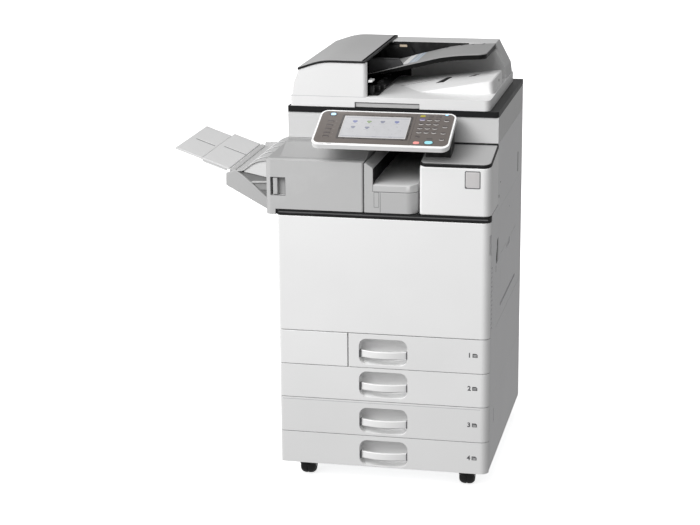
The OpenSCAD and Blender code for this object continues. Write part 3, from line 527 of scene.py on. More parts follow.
def front_mark(name, x0, x1, z0, z1, mat, body, y=FRONT, proud=0.15, r=0.4, **kw):
    """A thin mark on a face that looks forward."""
    return prism(name, tight_rect(x0, x1, z0, z1, r), "y", y - proud, y + 0.6, mat, body, bevel=0.07, seg=1,
        **kw)


def side_mark(name, y0, y1, z0, z1, mat, **kw):
    """A thin mark on the body's right side."""
    return mark(name, "x", HALF_W, y0, y1, z0, z1, mat, "root", **kw)


def ramp(points, x):
    """The height at x on a line through the points."""
    for (x0, z0), (x1, z1) in zip(points, points[1:]):
        if x <= x1:
            return z0 + (z1 - z0) * (x - x0) / (x1 - x0)
    return points[-1][1]


# --- right-hand block: white shell, dark rim, grey rising top


def block_plane(x, y):
    """The height of the block's sloping top."""
    return 928.5 + 0.173 * (y - FRONT)


def block_outline(inset=0.0, left_r=8.0, right_r=22.0, back=-190.0):
    """The block in plan, with round front corners."""
    x0, x1, y0 = 100.5 + inset, HALF_W - inset, FRONT + inset
    return (corner(x0 + left_r, y0 + left_r, left_r, 180, 8)
            + corner(x1 - right_r, y0 + right_r, right_r, 270, 14) + [(x1, back), (x0, back)])


shell = between("block_shell", block_outline(), lambda x, y: 785.3, lambda x, y: block_plane(x, y) - 10,
    "white", "root", bevel=4.2, seg=5, angle=50)
between("block_rim", block_outline(0.0, 17, 22), lambda x, y: block_plane(x, y) - 11,
    lambda x, y: block_plane(x, y) - 1.4, "black", "root", bevel=2.2, seg=4, angle=50)
between("block_top", block_outline(2.5, 15, 20), lambda x, y: block_plane(x, y) - 4, block_plane, "top_grey",
    "root", bevel=1.4, seg=3, angle=50)
prism("block_back", [(-191, 785.3), (-122.5, 785.3), (-122.5, 955), (-191, 944)], "x", 100.5, HALF_W - 6.5,
    "white", "root", bevel=0.8)
prism("block_side_wall", [(-190.5, 784.0), (333.5, 784.0), (333.5, 956.6), (-190.5, 956.6)], "x", HALF_W - 6,
    HALF_W, "side", "root", bevel=0.15)
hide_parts("right_top_cover")
side_mark("side_slot", 236, 246, 786.5, 846, "matt_black", r=1.2)
side_mark("side_dot", -151.5, -146.5, 838.5, 843.5, "matt_black", r=2.4)
side_mark("side_hook", -181, -172, 802, 811, "matt_black", r=3.5)
side_mark("side_hook_lit", -186, -173, 781, 800, "white", proud=0.6, r=4)
side_mark("side_dot_low", 58, 62, 722, 726, "ink", r=1.9)
prism("side_grip_dark", [(-216, 628), (-207, 622), (-199, 640), (-188, 690), (-198, 680), (-213, 655),
    (-220, 642)], "x", HALF_W - 0.6, HALF_W + 0.2, "matt_black", "root", bevel=0.1, seg=1)
side_mark("side_grip_tail", -222, -218, 602, 621, "shade", r=1.5)

# Lamp window: a dark seam and a light plate with fine ribs
ring("window_seam", rrect(223.0, 265.4, 862.4, 910.5, 3.8), rrect(225.6, 262.8, 865.0, 907.9, 2.2), "y",
    FRONT - 0.3, FRONT + 1.5, "seam", "root")
prism("window_plate", rrect(225.6, 262.8, 865.0, 907.9, 2.2), "y", FRONT - 0.5, FRONT + 1.5, "window",
    "root", bevel=0.4)
for i in range(11):
    prism(f"window_rib_{i}", rrect(228.7 + i * 3.0, 230.1 + i * 3.0, 868.5, 904.5, 0.6, 4), "y", FRONT - 0.9,
        FRONT, "window", "root", bevel=0.2, seg=2)
front_mark("window_corner", 223.4, 228.4, 862.8, 867.8, "ink", "root", proud=0.9, r=2)

# --- exit unit between the finisher and the block

EXIT_L, COLUMN, EXIT_R = -51, -27, 93  # left side, right side of the column, right side
EXIT_FRONT = FRONT + 1
EXIT_TOP = [(-342, 860), (-336, 864), (-302, 867.5), (-142, 870.5), (190, 877)]


def exit_outline(left, inset=0.0, r=30.0):
    """The exit unit in plan, with a round right front corner."""
    right, y = EXIT_R - inset, EXIT_FRONT + inset
    return [(left, y)] + corner(right - r, y + r, r, 270, 14) + [(right, 190), (left, 190)]


flap = between("exit_flap", exit_outline(EXIT_L), lambda x, y: 785.2, lambda x, y: 842.6, "exit_grey",
    "root", bevel=1.0, seg=3, angle=50)
between("exit_seam", exit_outline(COLUMN + 1, 1.1, 29), lambda x, y: 842, lambda x, y: 845.5, "seam", "root")
lip = [(FRONT + d, EXIT_R - 30 + 30 * math.sin(math.acos(1 - (d - 1) / 30)))
       for d in (1, 1.6, 3, 5.5, 9, 14, 20)]
lip += [(y, EXIT_R) for y in (FRONT + 31, FRONT + 60, -142, 20, 190)]
sections = []
for y, x in lip:
    top = ramp(EXIT_TOP, y)
    sections.append([(COLUMN - 0.5, y, 844.2), (x, y, 844.2), (x, y, top), (COLUMN - 0.5, y, top)])
loft("exit_lip", sections, "exit_top", "root", bevel=3.2, seg=5, angle=60)
prism("exit_column", [(EXIT_L, 842), (EXIT_L, 920), (EXIT_L + 3, 922), (COLUMN - 2.5, 909.8),
    (COLUMN, 906.5), (COLUMN, 842)], "y", FRONT + 1, 190, "exit_grey", "root", bevel=1.4, seg=3, angle=35)
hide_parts("exit_unit")
# A black sheet at the column's right side: painted shade for the dark paper slot into the finisher
prism("exit_slot_shade", [(-338, 863.5), (190, 876), (190, 905.5), (-338, 905.5)], "x", COLUMN - 0.3,
    COLUMN + 0.5, "pit", "root", bevel=0.2, seg=1)
prism("exit_black_roof", [(-45, 948), (93, 948), (93, 956), (-45, 956)], "y", -150, 180, "matt_black",
    "root", bevel=0.6)
front_mark("exit_flap_line", -7.4, -6.2, 787, 842, "seam", "root", y=FRONT + 1)
front_mark("exit_column_line", COLUMN - 0.5, COLUMN + 0.4, 844, 862, "seam", "root", y=FRONT + 1)
ring("exit_latch", rrect(-24.3, -10.6, 800.3, 843.2, 2.4), rrect(-23.5, -11.4, 801.1, 842.4, 1.8), "y",
    FRONT + 0.8, FRONT + 2, "seam", "root")

# --- trim band, its painted highlight line, and door marks

# A mid grey line along the black band's groove: painted highlight, the sheen of the satin band
prism("trim_highlight_line", rrect(-290, 287, 776.2, 779.4, 1.5, 4), "y", FRONT - 0.35, FRONT + 1, "shade", "root",
    bevel=0.2, seg=2)
prism("door_side_notch", rrect(-331.5, -327.5, 678, 733, 1.6, 5), "x", HALF_W - 6, HALF_W - 2.55, "ink",
    "front_door", bevel=0.2, seg=1)

# --- drawer numbers and sheet marks

for i, z in enumerate(NUMBER_Z):
    turn = Matrix.Translation(at(240, FRONT - 0.05, z)) @ Matrix.Rotation(math.radians(90), 4, "X")
    digit(f"drawer_number_{i + 1}", str(i + 1), 18, turn, "ink", f"drawer_{i + 1}")
    sheet = [(248.5, z - 5.5), (262.5, z - 5.5), (262.5, z + 2), (259, z + 5.5), (248.5, z + 5.5)]
    prism(f"drawer_sheet_{i + 1}", sheet, "y", FRONT - 0.2, FRONT + 0.5, "ink", f"drawer_{i + 1}",
        bevel=0.05, seg=1)
    for k in range(2):
        front_mark(f"drawer_sheet_line_{i + 1}_{k}", 250.8, 260.2, z - 3.2 + k * 3.4, z - 2.2 + k * 3.4,
            "white", f"drawer_{i + 1}", proud=0.3, r=0.3)

# --- operation panel


def on_face(name, u0, u1, v0, v1, mat, low=-0.5, high=0.25, r=0.6, bevel=0.1, seg=1, n=5,
        body="operation_panel", **kw):
    """A raised piece on the panel's face; u runs right and v runs down from the top edge."""
    loops = [[(u, v, t) for u, v in tight_rect(u0, u1, -v1, -v0, r, n)] for t in (low, high)]
    return loft(name, loops, mat, body, matrix=PANEL, bevel=bevel, seg=seg, **kw)


def face_ring(name, outer, inner, mat, low=-0.5, high=0.4, body="operation_panel", **kw):
    """A frame raised on the panel's face."""
    points = [(u, v, t) for t in (low, high) for line in (outer, inner) for u, v in line]
    return add(name, points, ring_faces(len(outer)), mat, body, matrix=PANEL, **kw)


def dial_key(name, u, v, w, h, mat, glint="key_glint", high=0.9):
    """A small oval key with a painted highlight, a light crescent along its lower edge."""
    key = on_face(name, u - w / 2, u + w / 2, v - h / 2, v + h / 2, mat, high=high, r=h / 2.05, bevel=0.35,
        seg=2, n=6)
    angles = [200 + 14 * k for k in range(11)]
    line = [polar(u, -v, w / 2 * 0.98, a, h / 2 * 1.02) for a in angles]
    line += [polar(u, -v, w / 2 * 0.80, a, h / 2 * 0.60) for a in reversed(angles)]
    loops = [[(x, y, high + t) for x, y in line] for t in (-0.3, 0.12)]
    loft(name + "_glint", loops, glint, "operation_panel", matrix=PANEL, slot="panel_face")
    return key


face_ring("screen_bezel", rrect(63, 259, -137, -20.5, 5), rrect(70.5, 251.5, -129.5, -26.5, 1.5), "bezel",
    high=0.15)
# A light ring inside the bezel: painted highlight on the screen's edge
face_ring("screen_edge_highlight", rrect(69.6, 252.4, -130.4, -25.6, 1.6), rrect(71.2, 250.8, -128.8, -27.2, 1.0),
    "key_glint", high=0.35)
icons = [(102, 51, "icon_a"), (141, 51, "icon_b"), (178, 50, "icon_c"), (217, 49, "icon_a"),
    (101, 79, "icon_c"), (140, 80, "icon_c")]
for i, (u, v, mat) in enumerate(icons):
    on_face(f"screen_icon_{i}", u - 6.5, u + 6.5, v - 4.5, v + 3.5, mat, low=-0.4, high=0.04, r=3.0)
    on_face(f"screen_icon_tag_{i}", u - 3.2, u + 3.2, v + 2.0, v + 7.0, mat, low=-0.4, high=0.03, r=2.0)
    on_face(f"screen_icon_line_{i}", u - 8.5, u + 8.5, v + 9.8, v + 10.9, "icon_line", low=-0.4, high=0.02,
        r=0.5)
on_face("screen_bar", 74, 248, 31, 35.5, "screen_bar", low=-0.4, high=0.0, r=0.6, slot="screen")
on_face("screen_bar_low", 74, 248, 120.5, 126, "screen_bar", low=-0.4, high=0.0, r=0.6)
for k, u in enumerate((160, 205)):
    on_face(f"screen_dash_{k}", u, u + 11, 121.8, 123.4, "icon_c", low=-0.4, high=0.06, r=0.6)



def oval(u, v, half_w, half_h):
    """An ellipse on the panel's face."""
    return [polar(u, -v, half_w, a, half_h) for a in range(0, 360, 12)]


face_ring("home_ring", oval(36, 20, 11.6, 9.0), oval(36, 20, 8.8, 6.5), "bezel", high=0.5)
on_face("home_key_lens", 28.6, 43.4, 14.4, 25.6, "blue_key", low=0.2, high=1.3, r=5.5, bevel=0.4, seg=2, n=7,
    body="home_key")
for i, v in enumerate((54, 73, 92, 111, 127)):
    on_face(f"function_key_{i}", 26, 44, v - 4, v + 4, "key", high=0.7, r=2.2, bevel=0.3, seg=2)
    # A light strip under each function key: painted highlight
    on_face(f"function_key_glint_{i}", 28, 42, v + 3.2, v + 4.3, "key_glint_low", high=0.75, r=0.5,
        slot="key_dark")
    on_face(f"function_lamp_{i}", 48.5, 52, v - 1, v + 1, "key_glint_low", high=0.3, r=0.9)
on_face("panel_split", 265.2, 266.4, 9, 152, "bezel", high=0.1, r=0.5)

for k, u in enumerate((283.5, 305, 327)):
    dial_key(f"top_key_{k}", u, 16.5, 15, 8, "yellow_key" if k == 0 else "key",
        glint="yellow_key" if k == 0 else "key_glint_low")
for j, v in enumerate((34, 54, 75, 95)):
    for k, u in enumerate((284.5, 304.5, 325)):
        key = dial_key(f"digit_key_{j}_{k}", u, v, 15.5, 11.5, "violet_key" if (j, k) == (0, 0) else "key")
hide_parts("keypad")
for k, v in enumerate((36, 66, 97, 127)):
    dial_key(f"right_key_{k}", 351, v, 15, 11, "key")
on_face("panel_lamp", 343.5, 351.5, 5.4, 9.6, "lamp_blue", high=0.5, r=2.0)
dial_key("extra_key", 283, 117, 14, 9, "key", glint="key_glint_low")
face_ring("start_ring", oval(318, 143, 13.8, 10.4), oval(318, 143, 12.0, 8.4), "bezel", high=0.45)
on_face("start_mark", 309.5, 326.5, 122.5, 126.5, "bezel", high=0.3, r=2)
for k in range(2):
    on_face(f"lip_mark_{k}", 21 + k * 22, 37 + k * 22, 161.8, 164.6, "window", low=-0.6, high=0.2, r=1.2)
    on_face(f"lip_mark_slot_{k}", 22.5 + k * 22, 35.5 + k * 22, 162.8, 163.7, "shade", low=-0.4, high=0.35,
        r=0.4)

# --- document feeder

COVER = flow([(-264.5, 77.5), (-228, 90), (-202, 97), (-176, 100), (-128, 100), (-78, 100)], 5)
FEED_Y, LID_BACK = SCANNER_FRONT - 2, 292.5


def skin(name, thick, top, y0, y1, mat, body, x0=-1e9, **kw):
    """A layer that follows the feed cover's top, from x0 rightwards."""
    line = [(x, FEEDER_Z + z - top) for x, z in COVER if x0 <= x]
    return prism(name, line + [(x, z - thick) for x, z in reversed(line)], "y", y0, y1, mat, body, **kw)


cover = skin("feed_cover_skin", 3.0, 0.0, FEED_Y + 0.8, LID_BACK, "top_grey", "feed_cover", bevel=0.9, seg=3,
    angle=40)
# The cover's pit-black underside is painted shade over the mouth.
skin("feed_cover_under", 2.2, 2.4, FEED_Y + 2, LID_BACK - 1, "pit", "feed_cover", x0=-244, bevel=0.3, seg=2,
    angle=40)
skin("feed_cover_lip", 6.5, 0.3, FEED_Y - 0.3, FEED_Y + 4.5, "black", "feed_cover", bevel=1.6, seg=3,
    angle=40)
prism("feed_cover_edge", [(-85, 1168.5), (-75.5, 1168.5), (-75.0, 1174.0), (-76.5, 1175), (-85, 1175)], "y",
    FEED_Y + 1, LID_BACK - 1, "black", "feed_cover", bevel=0.4, seg=2)
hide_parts("feed_cover")
prism("housing_seam", rrect(-284, -72, 1074.1, 1075.3, 0.5, 3), "y", SCANNER_FRONT - 0.12, SCANNER_FRONT + 1,
    "seam_light", "platen_lid", slot="light_grey_plastic")


def mouth_piece(name, outline, axis, a, b, bevel=0.4, mat="pit"):
    """A piece inside the feeder's mouth; its default pit black is painted shade for the mouth's dark inside.
    """
    prism(name, outline, axis, a, b, mat, "platen_lid", bevel=bevel, seg=2)


# Black pieces in the mouth, painted shade for its dark inside: back wall, low rear wall, and fittings below
# the tray, of which the posts are black parts
mouth_piece("mouth_back", [(-71, 1096), (-10, 1114), (38, 1125), (119, 1147), (150, 1152), (150, 1169),
    (-71, 1169)], "y", 201.2, 203.5)
mouth_piece("mouth_low_back", [(-71, 1076), (-12, 1076), (-12, 1111), (-71, 1094)], "y", 163.4, 166)
mouth_piece("mouth_floor", rrect(-76, -44, -172, -60, 4, 4), "z", 1075.2, 1079.5, 0.8)
mouth_piece("mouth_post_a", rrect(-69, -58, -168, -154, 2, 4), "z", 1078, 1101, 1.0, "black")
mouth_piece("mouth_post_b", rrect(-67, -50, -128, -112, 2, 4), "z", 1078, 1094, 1.0, "black")
mouth_piece("mouth_post_c", rrect(-66, -44, -84, -66, 3, 4), "z", 1078, 1090, 1.0, "black")
mouth_piece("mouth_guide", [(-71, 1079), (-46, 1079), (-40, 1083), (-71, 1092)], "y", -58, 160, 0.8)
loft("mouth_tab", [[(-70, y, 1113), (-58, y, 1114.5), (-58, y, 1119), (-70, y, 1120.5)]
    for y in (-186, -152)], "white", "platen_lid", bevel=1.2, seg=3)
for i, y in enumerate((-30, 30, 90, 150)):
    lathe(f"exit_roller_{i}", [(0.5, -8), (6.5, -8), (7, -7), (7, 7), (6.5, 8), (0.5, 8)], (-64, y, 1086),
        "y", "roller", "platen_lid", steps=24, bevel=0.3, seg=1)

# Document tray: grey skin, front face with a dark edge band, round right corner
TRAY = [(-107, 1106), (-72, 1114.5), (-50, 1120.5), (-17, 1129), (17, 1138), (40, 1143.5), (59, 1148.5),
    (97, 1158), (130, 1163.5), (159, 1167), (195, 1169.5), (229, 1171)]
BAND_GAP = [(-107, 0.7), (17, 0.8), (97, 1.0), (159, 1.8), (229, 2.0)]
BAND = [(-107, 5.5), (-50, 9), (17, 12.5), (229, 13)]
TRAY_FINE = flow(TRAY, 3)
TY0, TY1 = -5, 200  # the tray's front and back
TRAY_RIGHT = 229


def tray_loft(name, top, bottom, mat, r=24.0, **kw):
    """A layer of the tray: heights run down from its top surface; the right front corner is rounded."""
    stations = [(x, TY0) for x, z in TRAY_FINE if x < TRAY_RIGHT - r]
    for a in map(math.radians, (0, 12, 25, 38, 52, 66, 78, 90)):
        stations.append((TRAY_RIGHT - r + r * math.sin(a), TY0 + r - r * math.cos(a)))
    loops = []
    for x, y in stations:
        z0, z1 = ramp(TRAY_FINE, x) - bottom(x), ramp(TRAY_FINE, x) - top(x)
        loops.append([(x, y, z1), (x, TY1, z1), (x, TY1, z0), (x, y, z0)])
    return loft(name, loops, mat, "document_tray", **kw)


tray = tray_loft("document_tray_skin", lambda x: 0, lambda x: ramp(BAND_GAP, x) + 1, "tray_grey", bevel=0.8,
    seg=3, angle=50)
tray_loft("document_tray_band", lambda x: ramp(BAND_GAP, x), lambda x: ramp(BAND_GAP, x) + ramp(BAND, x),
    "deep_black", bevel=1.2, seg=3, angle=50)
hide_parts("document_tray")


def on_tray_top(name, outline, mat, lift, **kw):
    """A mark on the tray's curved top."""
    low, high = (lambda x, y: ramp(TRAY_FINE, x) - 0.8), (lambda x, y: ramp(TRAY_FINE, x) + lift)
    return between(name, outline, low, high, mat, "document_tray", bevel=0.06, seg=1, **kw)


on_tray_top("tray_label_white", rrect(-17, 2.5, 26, 197, 0.8, 3), "label_white", lift=0.12)
for k, (a, b) in enumerate(((4.0, 9.5), (10.5, 18.5), (19.5, 28.5))):
    on_tray_top(f"tray_label_blue_{k}", rrect(a, b, 26, 197, 0.8, 3),
        ("label_blue", "label_pale", "label_blue")[k], lift=0.1)
for k, x in enumerate((86, 129, 160, 191)):
    on_tray_top(f"tray_stop_mark_{k}", [(x, 184), (x + 2.4, 184), (x + 8, 197), (x + 5.6, 197)], "ink",
        lift=0.9)
prism("rear_fence_label", rrect(-51, -29, 1155.5, 1162, 1.0, 4), "y", 189.4, 190.4, "label_cream",
    "fence_rear", bevel=0.1, seg=1)
prism("front_fence_top", rrect(-104, -24, 1147.5, 1150, 0.9, 4), "y", 7, 13, "matt_black", "fence_front",
    bevel=0.5, seg=2)
prism("front_fence_foot", [(-100, 1108.6), (-20, 1129.3), (-20, 1132), (-100, 1111.6)], "y", 12, 34,
    "shade_dark", "fence_front", bevel=0.6, seg=2)

# Exit tray on the lid: a ramp that starts at a slanted line and ends in a rounded block
WEDGE_TOP, WEDGE_R = 1112, 262.5  # the block's top and right side


def wedge_start(y):
    """Where the ramp starts, along a slanted line."""
    return 60 - 130 * (y + 97) / 187


def wedge_height(x, y):
    """The ramp's height, on the same slope from its start to the block."""
    return FEEDER_Z + (WEDGE_TOP - FEEDER_Z) * max(0.0, x - wedge_start(y)) / (258 - wedge_start(y))


stations = [(-97 + 14 - 14 * math.cos(a), WEDGE_R - 14 + 14 * math.sin(a)) for a in QUARTER_TURN]
stations += [(y, WEDGE_R) for y in (-40, 0, 24, 50, 72, 90)]
loops = []
for y, x1 in stations:
    s = wedge_start(y)
    slope = [s + (x1 - 5 - s) * t for t in (0.02, 0.25, 0.5, 0.75, 1.0)]
    edge = [(x1 - 1.6, y, WEDGE_TOP - 2), (x1, y, WEDGE_TOP - 6), (x1 + 1, y, FEEDER_Z)]
    loops.append([(s, y, FEEDER_Z)] + [(x, y, wedge_height(x, y)) for x in slope] + edge)
wedge = loft("exit_wedge", loops, "white", "platen_lid", bevel=1.6, seg=3, angle=35)
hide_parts("document_exit_tray")


def on_wedge(name, corners, mat, lift=0.3, **kw):
    """A four-sided mark on the ramp; its ends are the first two corners and the last two."""
    (ax, ay), (bx, by), (cx, cy), (dx, dy) = corners
    loops = []
    for k in range(9):
        t = k / 8
        left, right = (ax + (dx - ax) * t, ay + (dy - ay) * t), (bx + (cx - bx) * t, by + (cy - by) * t)
        rim = ((left, -1.0), (right, -1.0), (right, lift), (left, lift))
        loops.append([(x, y, wedge_height(x, y) + h) for (x, y), h in rim])
    return loft(name, loops, mat, "platen_lid", **kw)


on_wedge("wedge_slot_a", [(90, -16), (112, -15), (128, 46), (112, 45)], "matt_black")
on_wedge("wedge_slot_b", [(176, 24), (194, 25), (207, 50), (192, 49)], "shade")
on_wedge("wedge_line", [(-14, -4), (-11, -5), (72, 26), (69, 27)], "seam", lift=0.25, slot="grey_plastic")
mark("wedge_notch", "x", WEDGE_R + 0.35, 18, 30, 1084, 1098, "ink", "platen_lid", r=4)

# Hand recess in the lid's front edge: its grey back, dark roof and dark left end are painted shade inside the
# recess
prism("lid_recess_back", rrect(-104, 74, 1047, 1059.5, 4, 5), "y", SCANNER_FRONT + 2.2, SCANNER_FRONT + 12.5,
    "recess", "platen_lid", bevel=0.3, seg=1)
prism("lid_recess_roof", rrect(-104.5, 74.5, SCANNER_FRONT + 0.6, SCANNER_FRONT + 11.5, 3, 5), "z", 1058.6,
    1060.4, "shade", "platen_lid", bevel=0.3, seg=1, slot="grey_plastic")
prism("lid_recess_end", rrect(-105.2, -102.6, 1046, 1060.4, 1.2, 4), "y", SCANNER_FRONT + 0.4,
    SCANNER_FRONT + 12, "ink", "platen_lid", bevel=0.2, seg=1)

# --- finisher

front_mark("latch_dark", -309.8, -304.6, 825.5, 872.5, "shade_dark", "finisher_cover", y=FRONT + 14.2,
    proud=0.4, r=0.8)
front_mark("latch_floor", -291.5, -271.2, 825.5, 872.5, "mid", "finisher_cover", y=FRONT + 14.2, proud=0.4,
    r=0.8, slot="light_grey_plastic")
ring("latch_frame", rrect(-311.6, -269.4, 823.4, 874.6, 1.6), rrect(-310.6, -270.4, 824.4, 873.6, 1.0), "y",
    FRONT - 0.3, FRONT + 1.2, "seam", "finisher_cover")
prism("latch_lever_face", rrect(-303.6, -292.4, 826.6, 871.4, 2.0), "y", FRONT + 0.8, FRONT + 3, "exit_grey",
    "finisher_cover", bevel=0.5, seg=2)

# --- feeder housing: front wall, and a body that stops short of the tray

HOUSE_TOP = [(x, FEEDER_Z + z - 5.6) for x, z in COVER]


def house_loop(right):
    """The housing's outline from the front: its left side, the line under the cover, and its right side."""
    line = [(-281, FEEDER_Z), (-277, 1110), (-268, 1131)]
    for k in range(22):
        x = -262 + (right + 262) * k / 21
        line.append((x, ramp(HOUSE_TOP, x)))
    return line + [(right, FEEDER_Z)]


front_wall = [(SCANNER_FRONT + 12 - 12 * math.cos(a), -71.5 - 12 + 12 * math.sin(a)) for a in QUARTER_TURN]
wall = loft("housing_front", [[(x, y, z) for x, z in house_loop(right)] for y, right in front_wall],
    "lid_white", "platen_lid", bevel=1.6, seg=3, angle=40)
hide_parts("feeder_housing")
for name, y0, y1, right in (("housing_body", SCANNER_FRONT + 12, -14, -109),
        ("housing_back", 206, LID_BACK, -71.5), ("housing_left", -14, 206, -178)):
    loft(name, [[(x, y, z) for x, z in house_loop(right)] for y in (y0, y1)], "lid_white", "platen_lid")
# Pit-black pieces round the opened mouth: painted shade for the housing's dark inside
mouth_piece("housing_sill", [(-178, 1075), (-109, 1075), (-109, 1091), (-178, 1091)], "y", -14, 206, 0.8)
mouth_piece("housing_inner_side", [(-186, 1076), (-14, 1076), (-14, 1166), (-186, 1166)], "x", -109.2, -108.2, 0.3)
mouth_piece("housing_inner_front", rrect(-108, -75, 1076, 1166, 2, 4), "y", SCANNER_FRONT + 11.6,
    SCANNER_FRONT + 13.2)
mouth_piece("housing_inner_floor", rrect(-109, -70, -186, 164, 3, 4), "z", 1074.6, 1077.5, 0.5)
mouth_piece("housing_inner_back", rrect(-178, -71.5, 1092, 1166, 2, 4), "y", 204.4, 206.4)

# --- output tray bracket: wedge, curved guide, ribs


def bracket_part(name, outline, y0, y1, mat="bracket", bevel=0.8, seg=2, angle=30, **kw):
    """A piece of the output tray's bracket, from y0 to y1."""
    return prism(name, outline, "y", y0, y1, mat, "finisher", bevel=bevel, seg=seg, angle=angle, **kw)


guide_top = flow([(-434, 880.5), (-421, 879.5), (-410, 879.3), (-397.5, 882), (-385, 891), (-373, 900),
    (-355, 908), (-334, 911.5), (-325.8, 912)], 4)
wedge_front = [(-447.5, 871), (-448.3, 837), (-332, 773.5), (-325.8, 771), (-325.8, 799), (-336, 808.5),
    (-355, 826), (-374, 844), (-400, 866), (-421.5, 880.5)]
base = bracket_part("tray_wedge", wedge_front, TRAY_FRONT_Y, TRAY_FRONT_Y + 9, bevel=2.0, seg=3, angle=25)
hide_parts("output_tray_base")
bracket_part("tray_wedge_rear", wedge_front, 31, 40, bevel=2.0, seg=3, angle=25)
wedge_floor = [(-446, 869), (-446, 838), (-332, 776), (-326, 774), (-326, 786), (-352, 806), (-400, 850),
    (-430, 866)]
bracket_part("tray_wedge_floor", wedge_floor, TRAY_FRONT_Y + 8, 32, bevel=1.2, angle=25)
bracket_part("tray_guide", guide_top + [(x, z - 3.2) for x, z in reversed(guide_top)], TRAY_FRONT_Y + 1, 40)
guide_side = [(x, z - 2.6) for x, z in guide_top if x >= -398]
guide_side += [(-325.8, 861), (-335, 862.5), (-372, 870), (-397, 874.5)]
bracket_part("tray_guide_side", guide_side, TRAY_FRONT_Y + 4, TRAY_FRONT_Y + 8, "tray_light", bevel=0.6)
# A mid grey piece behind the bracket's open side: painted shade in the dark gap under the guide
shade_fill = [(-421, 880), (-397, 873), (-326, 861), (-326, 800), (-355, 825), (-374, 843), (-400, 865)]
bracket_part("tray_open_side_shade", shade_fill, TRAY_FRONT_Y + 7, TRAY_FRONT_Y + 11, "shade_mid", bevel=0.6)
rib = [(-378, 846.5), (-372, 849.5), (-326, 851), (-326, 846), (-372, 844)]
bracket_part("tray_rib", rib, TRAY_FRONT_Y + 2.5, TRAY_FRONT_Y + 10)
# A darker piece under the rib: painted shadow
rib_shadow = [(-372, 843.5), (-326, 845.5), (-326, 826), (-352, 826)]
bracket_part("tray_rib_shadow", rib_shadow, TRAY_FRONT_Y + 5.5, TRAY_FRONT_Y + 8.5, "mid_low", bevel=0.5)
strip = [(-437.2, 877.5), (-436.0, 882.6), (-431, 883.6), (-420, 881.2), (-420, 876)]
bracket_part("tray_hinge_strip", strip, TRAY_FRONT_Y + 0.5, 39.5, seg=3)
for k, y in enumerate((-262, -190, -118, -46)):
    line = [(x, z) for x, z in guide_top if -398 <= x <= -338]
    under = [(x, z - 1) for x, z in reversed(line)]
    slot_line = [(x, z + 0.25) for x, z in line]
    rib_line = [(x, z + 2.4 * math.sin(math.pi * i / (len(line) - 1))) for i, (x, z) in enumerate(line)]
    bracket_part(f"guide_slot_{k}", slot_line + under, y - 3.5, y + 3.5, "seam", 0.1, 1, 28,
        slot="grey_plastic")
    bracket_part(f"guide_rib_{k}", rib_line + under, y + 4, y + 8, "tray_light", 0.7, 2, 50)
prism("tray_stop_block", rrect(-420, -376, 878, 892, 3, 5), "y", 28, 38, "bracket", "finisher", bevel=1.5,
    seg=3)
# The gap filler takes the finisher top's painted-shade grey
prism("finisher_top_gap", [(-292.5, 948), (-54, 948), (-54, 956.5), (-292.5, 956.5)], "y", SCANNER_FRONT - 6,
    170, "fin_top_shaded", "finisher", bevel=1.0, seg=2)
# A black strip under the scanner's front over the block: painted shadow in the gap between them
prism("block_gap_shadow", [(101, 951), (HALF_W - 0.8, 951), (HALF_W - 0.8, 958.4), (101, 958.4)], "y",
    SCANNER_FRONT - 1.3, SCANNER_FRONT + 8, "black", "root", bevel=0.5, seg=2)


def on_plane(name, matrix, x0, x1, y0, y1, mat, body, low=-0.6, high=0.18, r=0.6, **kw):
    """A mark on a tray's own plane."""
    loops = [[(x, y, t) for x, y in tight_rect(x0, x1, y0, y1, r)] for t in (low, high)]
    return loft(name, loops, mat, body, matrix=matrix, bevel=0.06, seg=1, **kw)


def tray_matrix(x, z):
    """The frame of a tray that rises leftwards from a hinge."""
    return Matrix.Translation(at(x, 0, z)) @ Matrix.Rotation(TRAY_RISE, 4, "Y")


PLATE_LEVEL, EXTENSION_LEVEL = tray_matrix(JOINT_X, JOINT_Z), tray_matrix(FOLD_X, FOLD_Z)
on_plane("plate_slot", PLATE_LEVEL, -70, -2, -124, -118.5, "ink", "output_tray", low=-5.4, r=2.2)
on_plane("plate_slot_shine", PLATE_LEVEL, -68, -5, -117.6, -116.2, "label_white", "output_tray", r=0.6,
    slot="light_grey_plastic")
on_plane("extension_slot", EXTENSION_LEVEL, -64, -6, -154, -148.5, "ink", "output_tray_extension", low=-5.4,
    r=2.2)
on_plane("extension_slot_shine", EXTENSION_LEVEL, -62, -9, -147.6, -146.2, "label_white",
    "output_tray_extension", r=0.6, slot="light_grey_plastic")

# Grips: a face that follows the bow, and dark ends
GRIP_BEND = 148.3  # radius of the bow
for i, pocket in enumerate(POCKET_Z):
    z = pocket - GRIP_DROP
    sections = []
    for k in range(25):
        x = -64.5 + 129 * k / 24
        y = FRONT + 14 - 16 + x * x / (2 * GRIP_BEND)
        profile = ((-2.7, 9.2), (-1.2, 10.4), (3.5, 10.4), (4.5, -9.6), (-2.0, -9.6), (-3.8, -8.2))
        sections.append([(x, y + dy, z + dz) for dy, dz in profile])
    loft(f"grip_face_{i + 1}", sections, "grip", f"drawer_{i + 1}", bevel=1.0, seg=3, angle=30)

# Dark ends: painted shade in the gaps at the grips' ends
for i, z in enumerate(POCKET_Z):
    for side in (-1, 1):
        x0, x1 = sorted((side * 63.2, side * 67.2))
        prism(f"grip_end_{i + 1}_{'lr'[side > 0]}", rrect(x0, x1, z - 18.5, z + 2.5, 1.6, 5), "y", FRONT + 4,
            FRONT + 15, "seam", f"drawer_{i + 1}", bevel=0.5, seg=2, slot="grey_plastic")
prism("joint_line", rrect(-286.5, 271.5, 240.4, 241.8, 0.5, 3), "y", FRONT - 0.15, FRONT + 0.8, "seam_light",
    "drawer_3", bevel=0.1, seg=1)

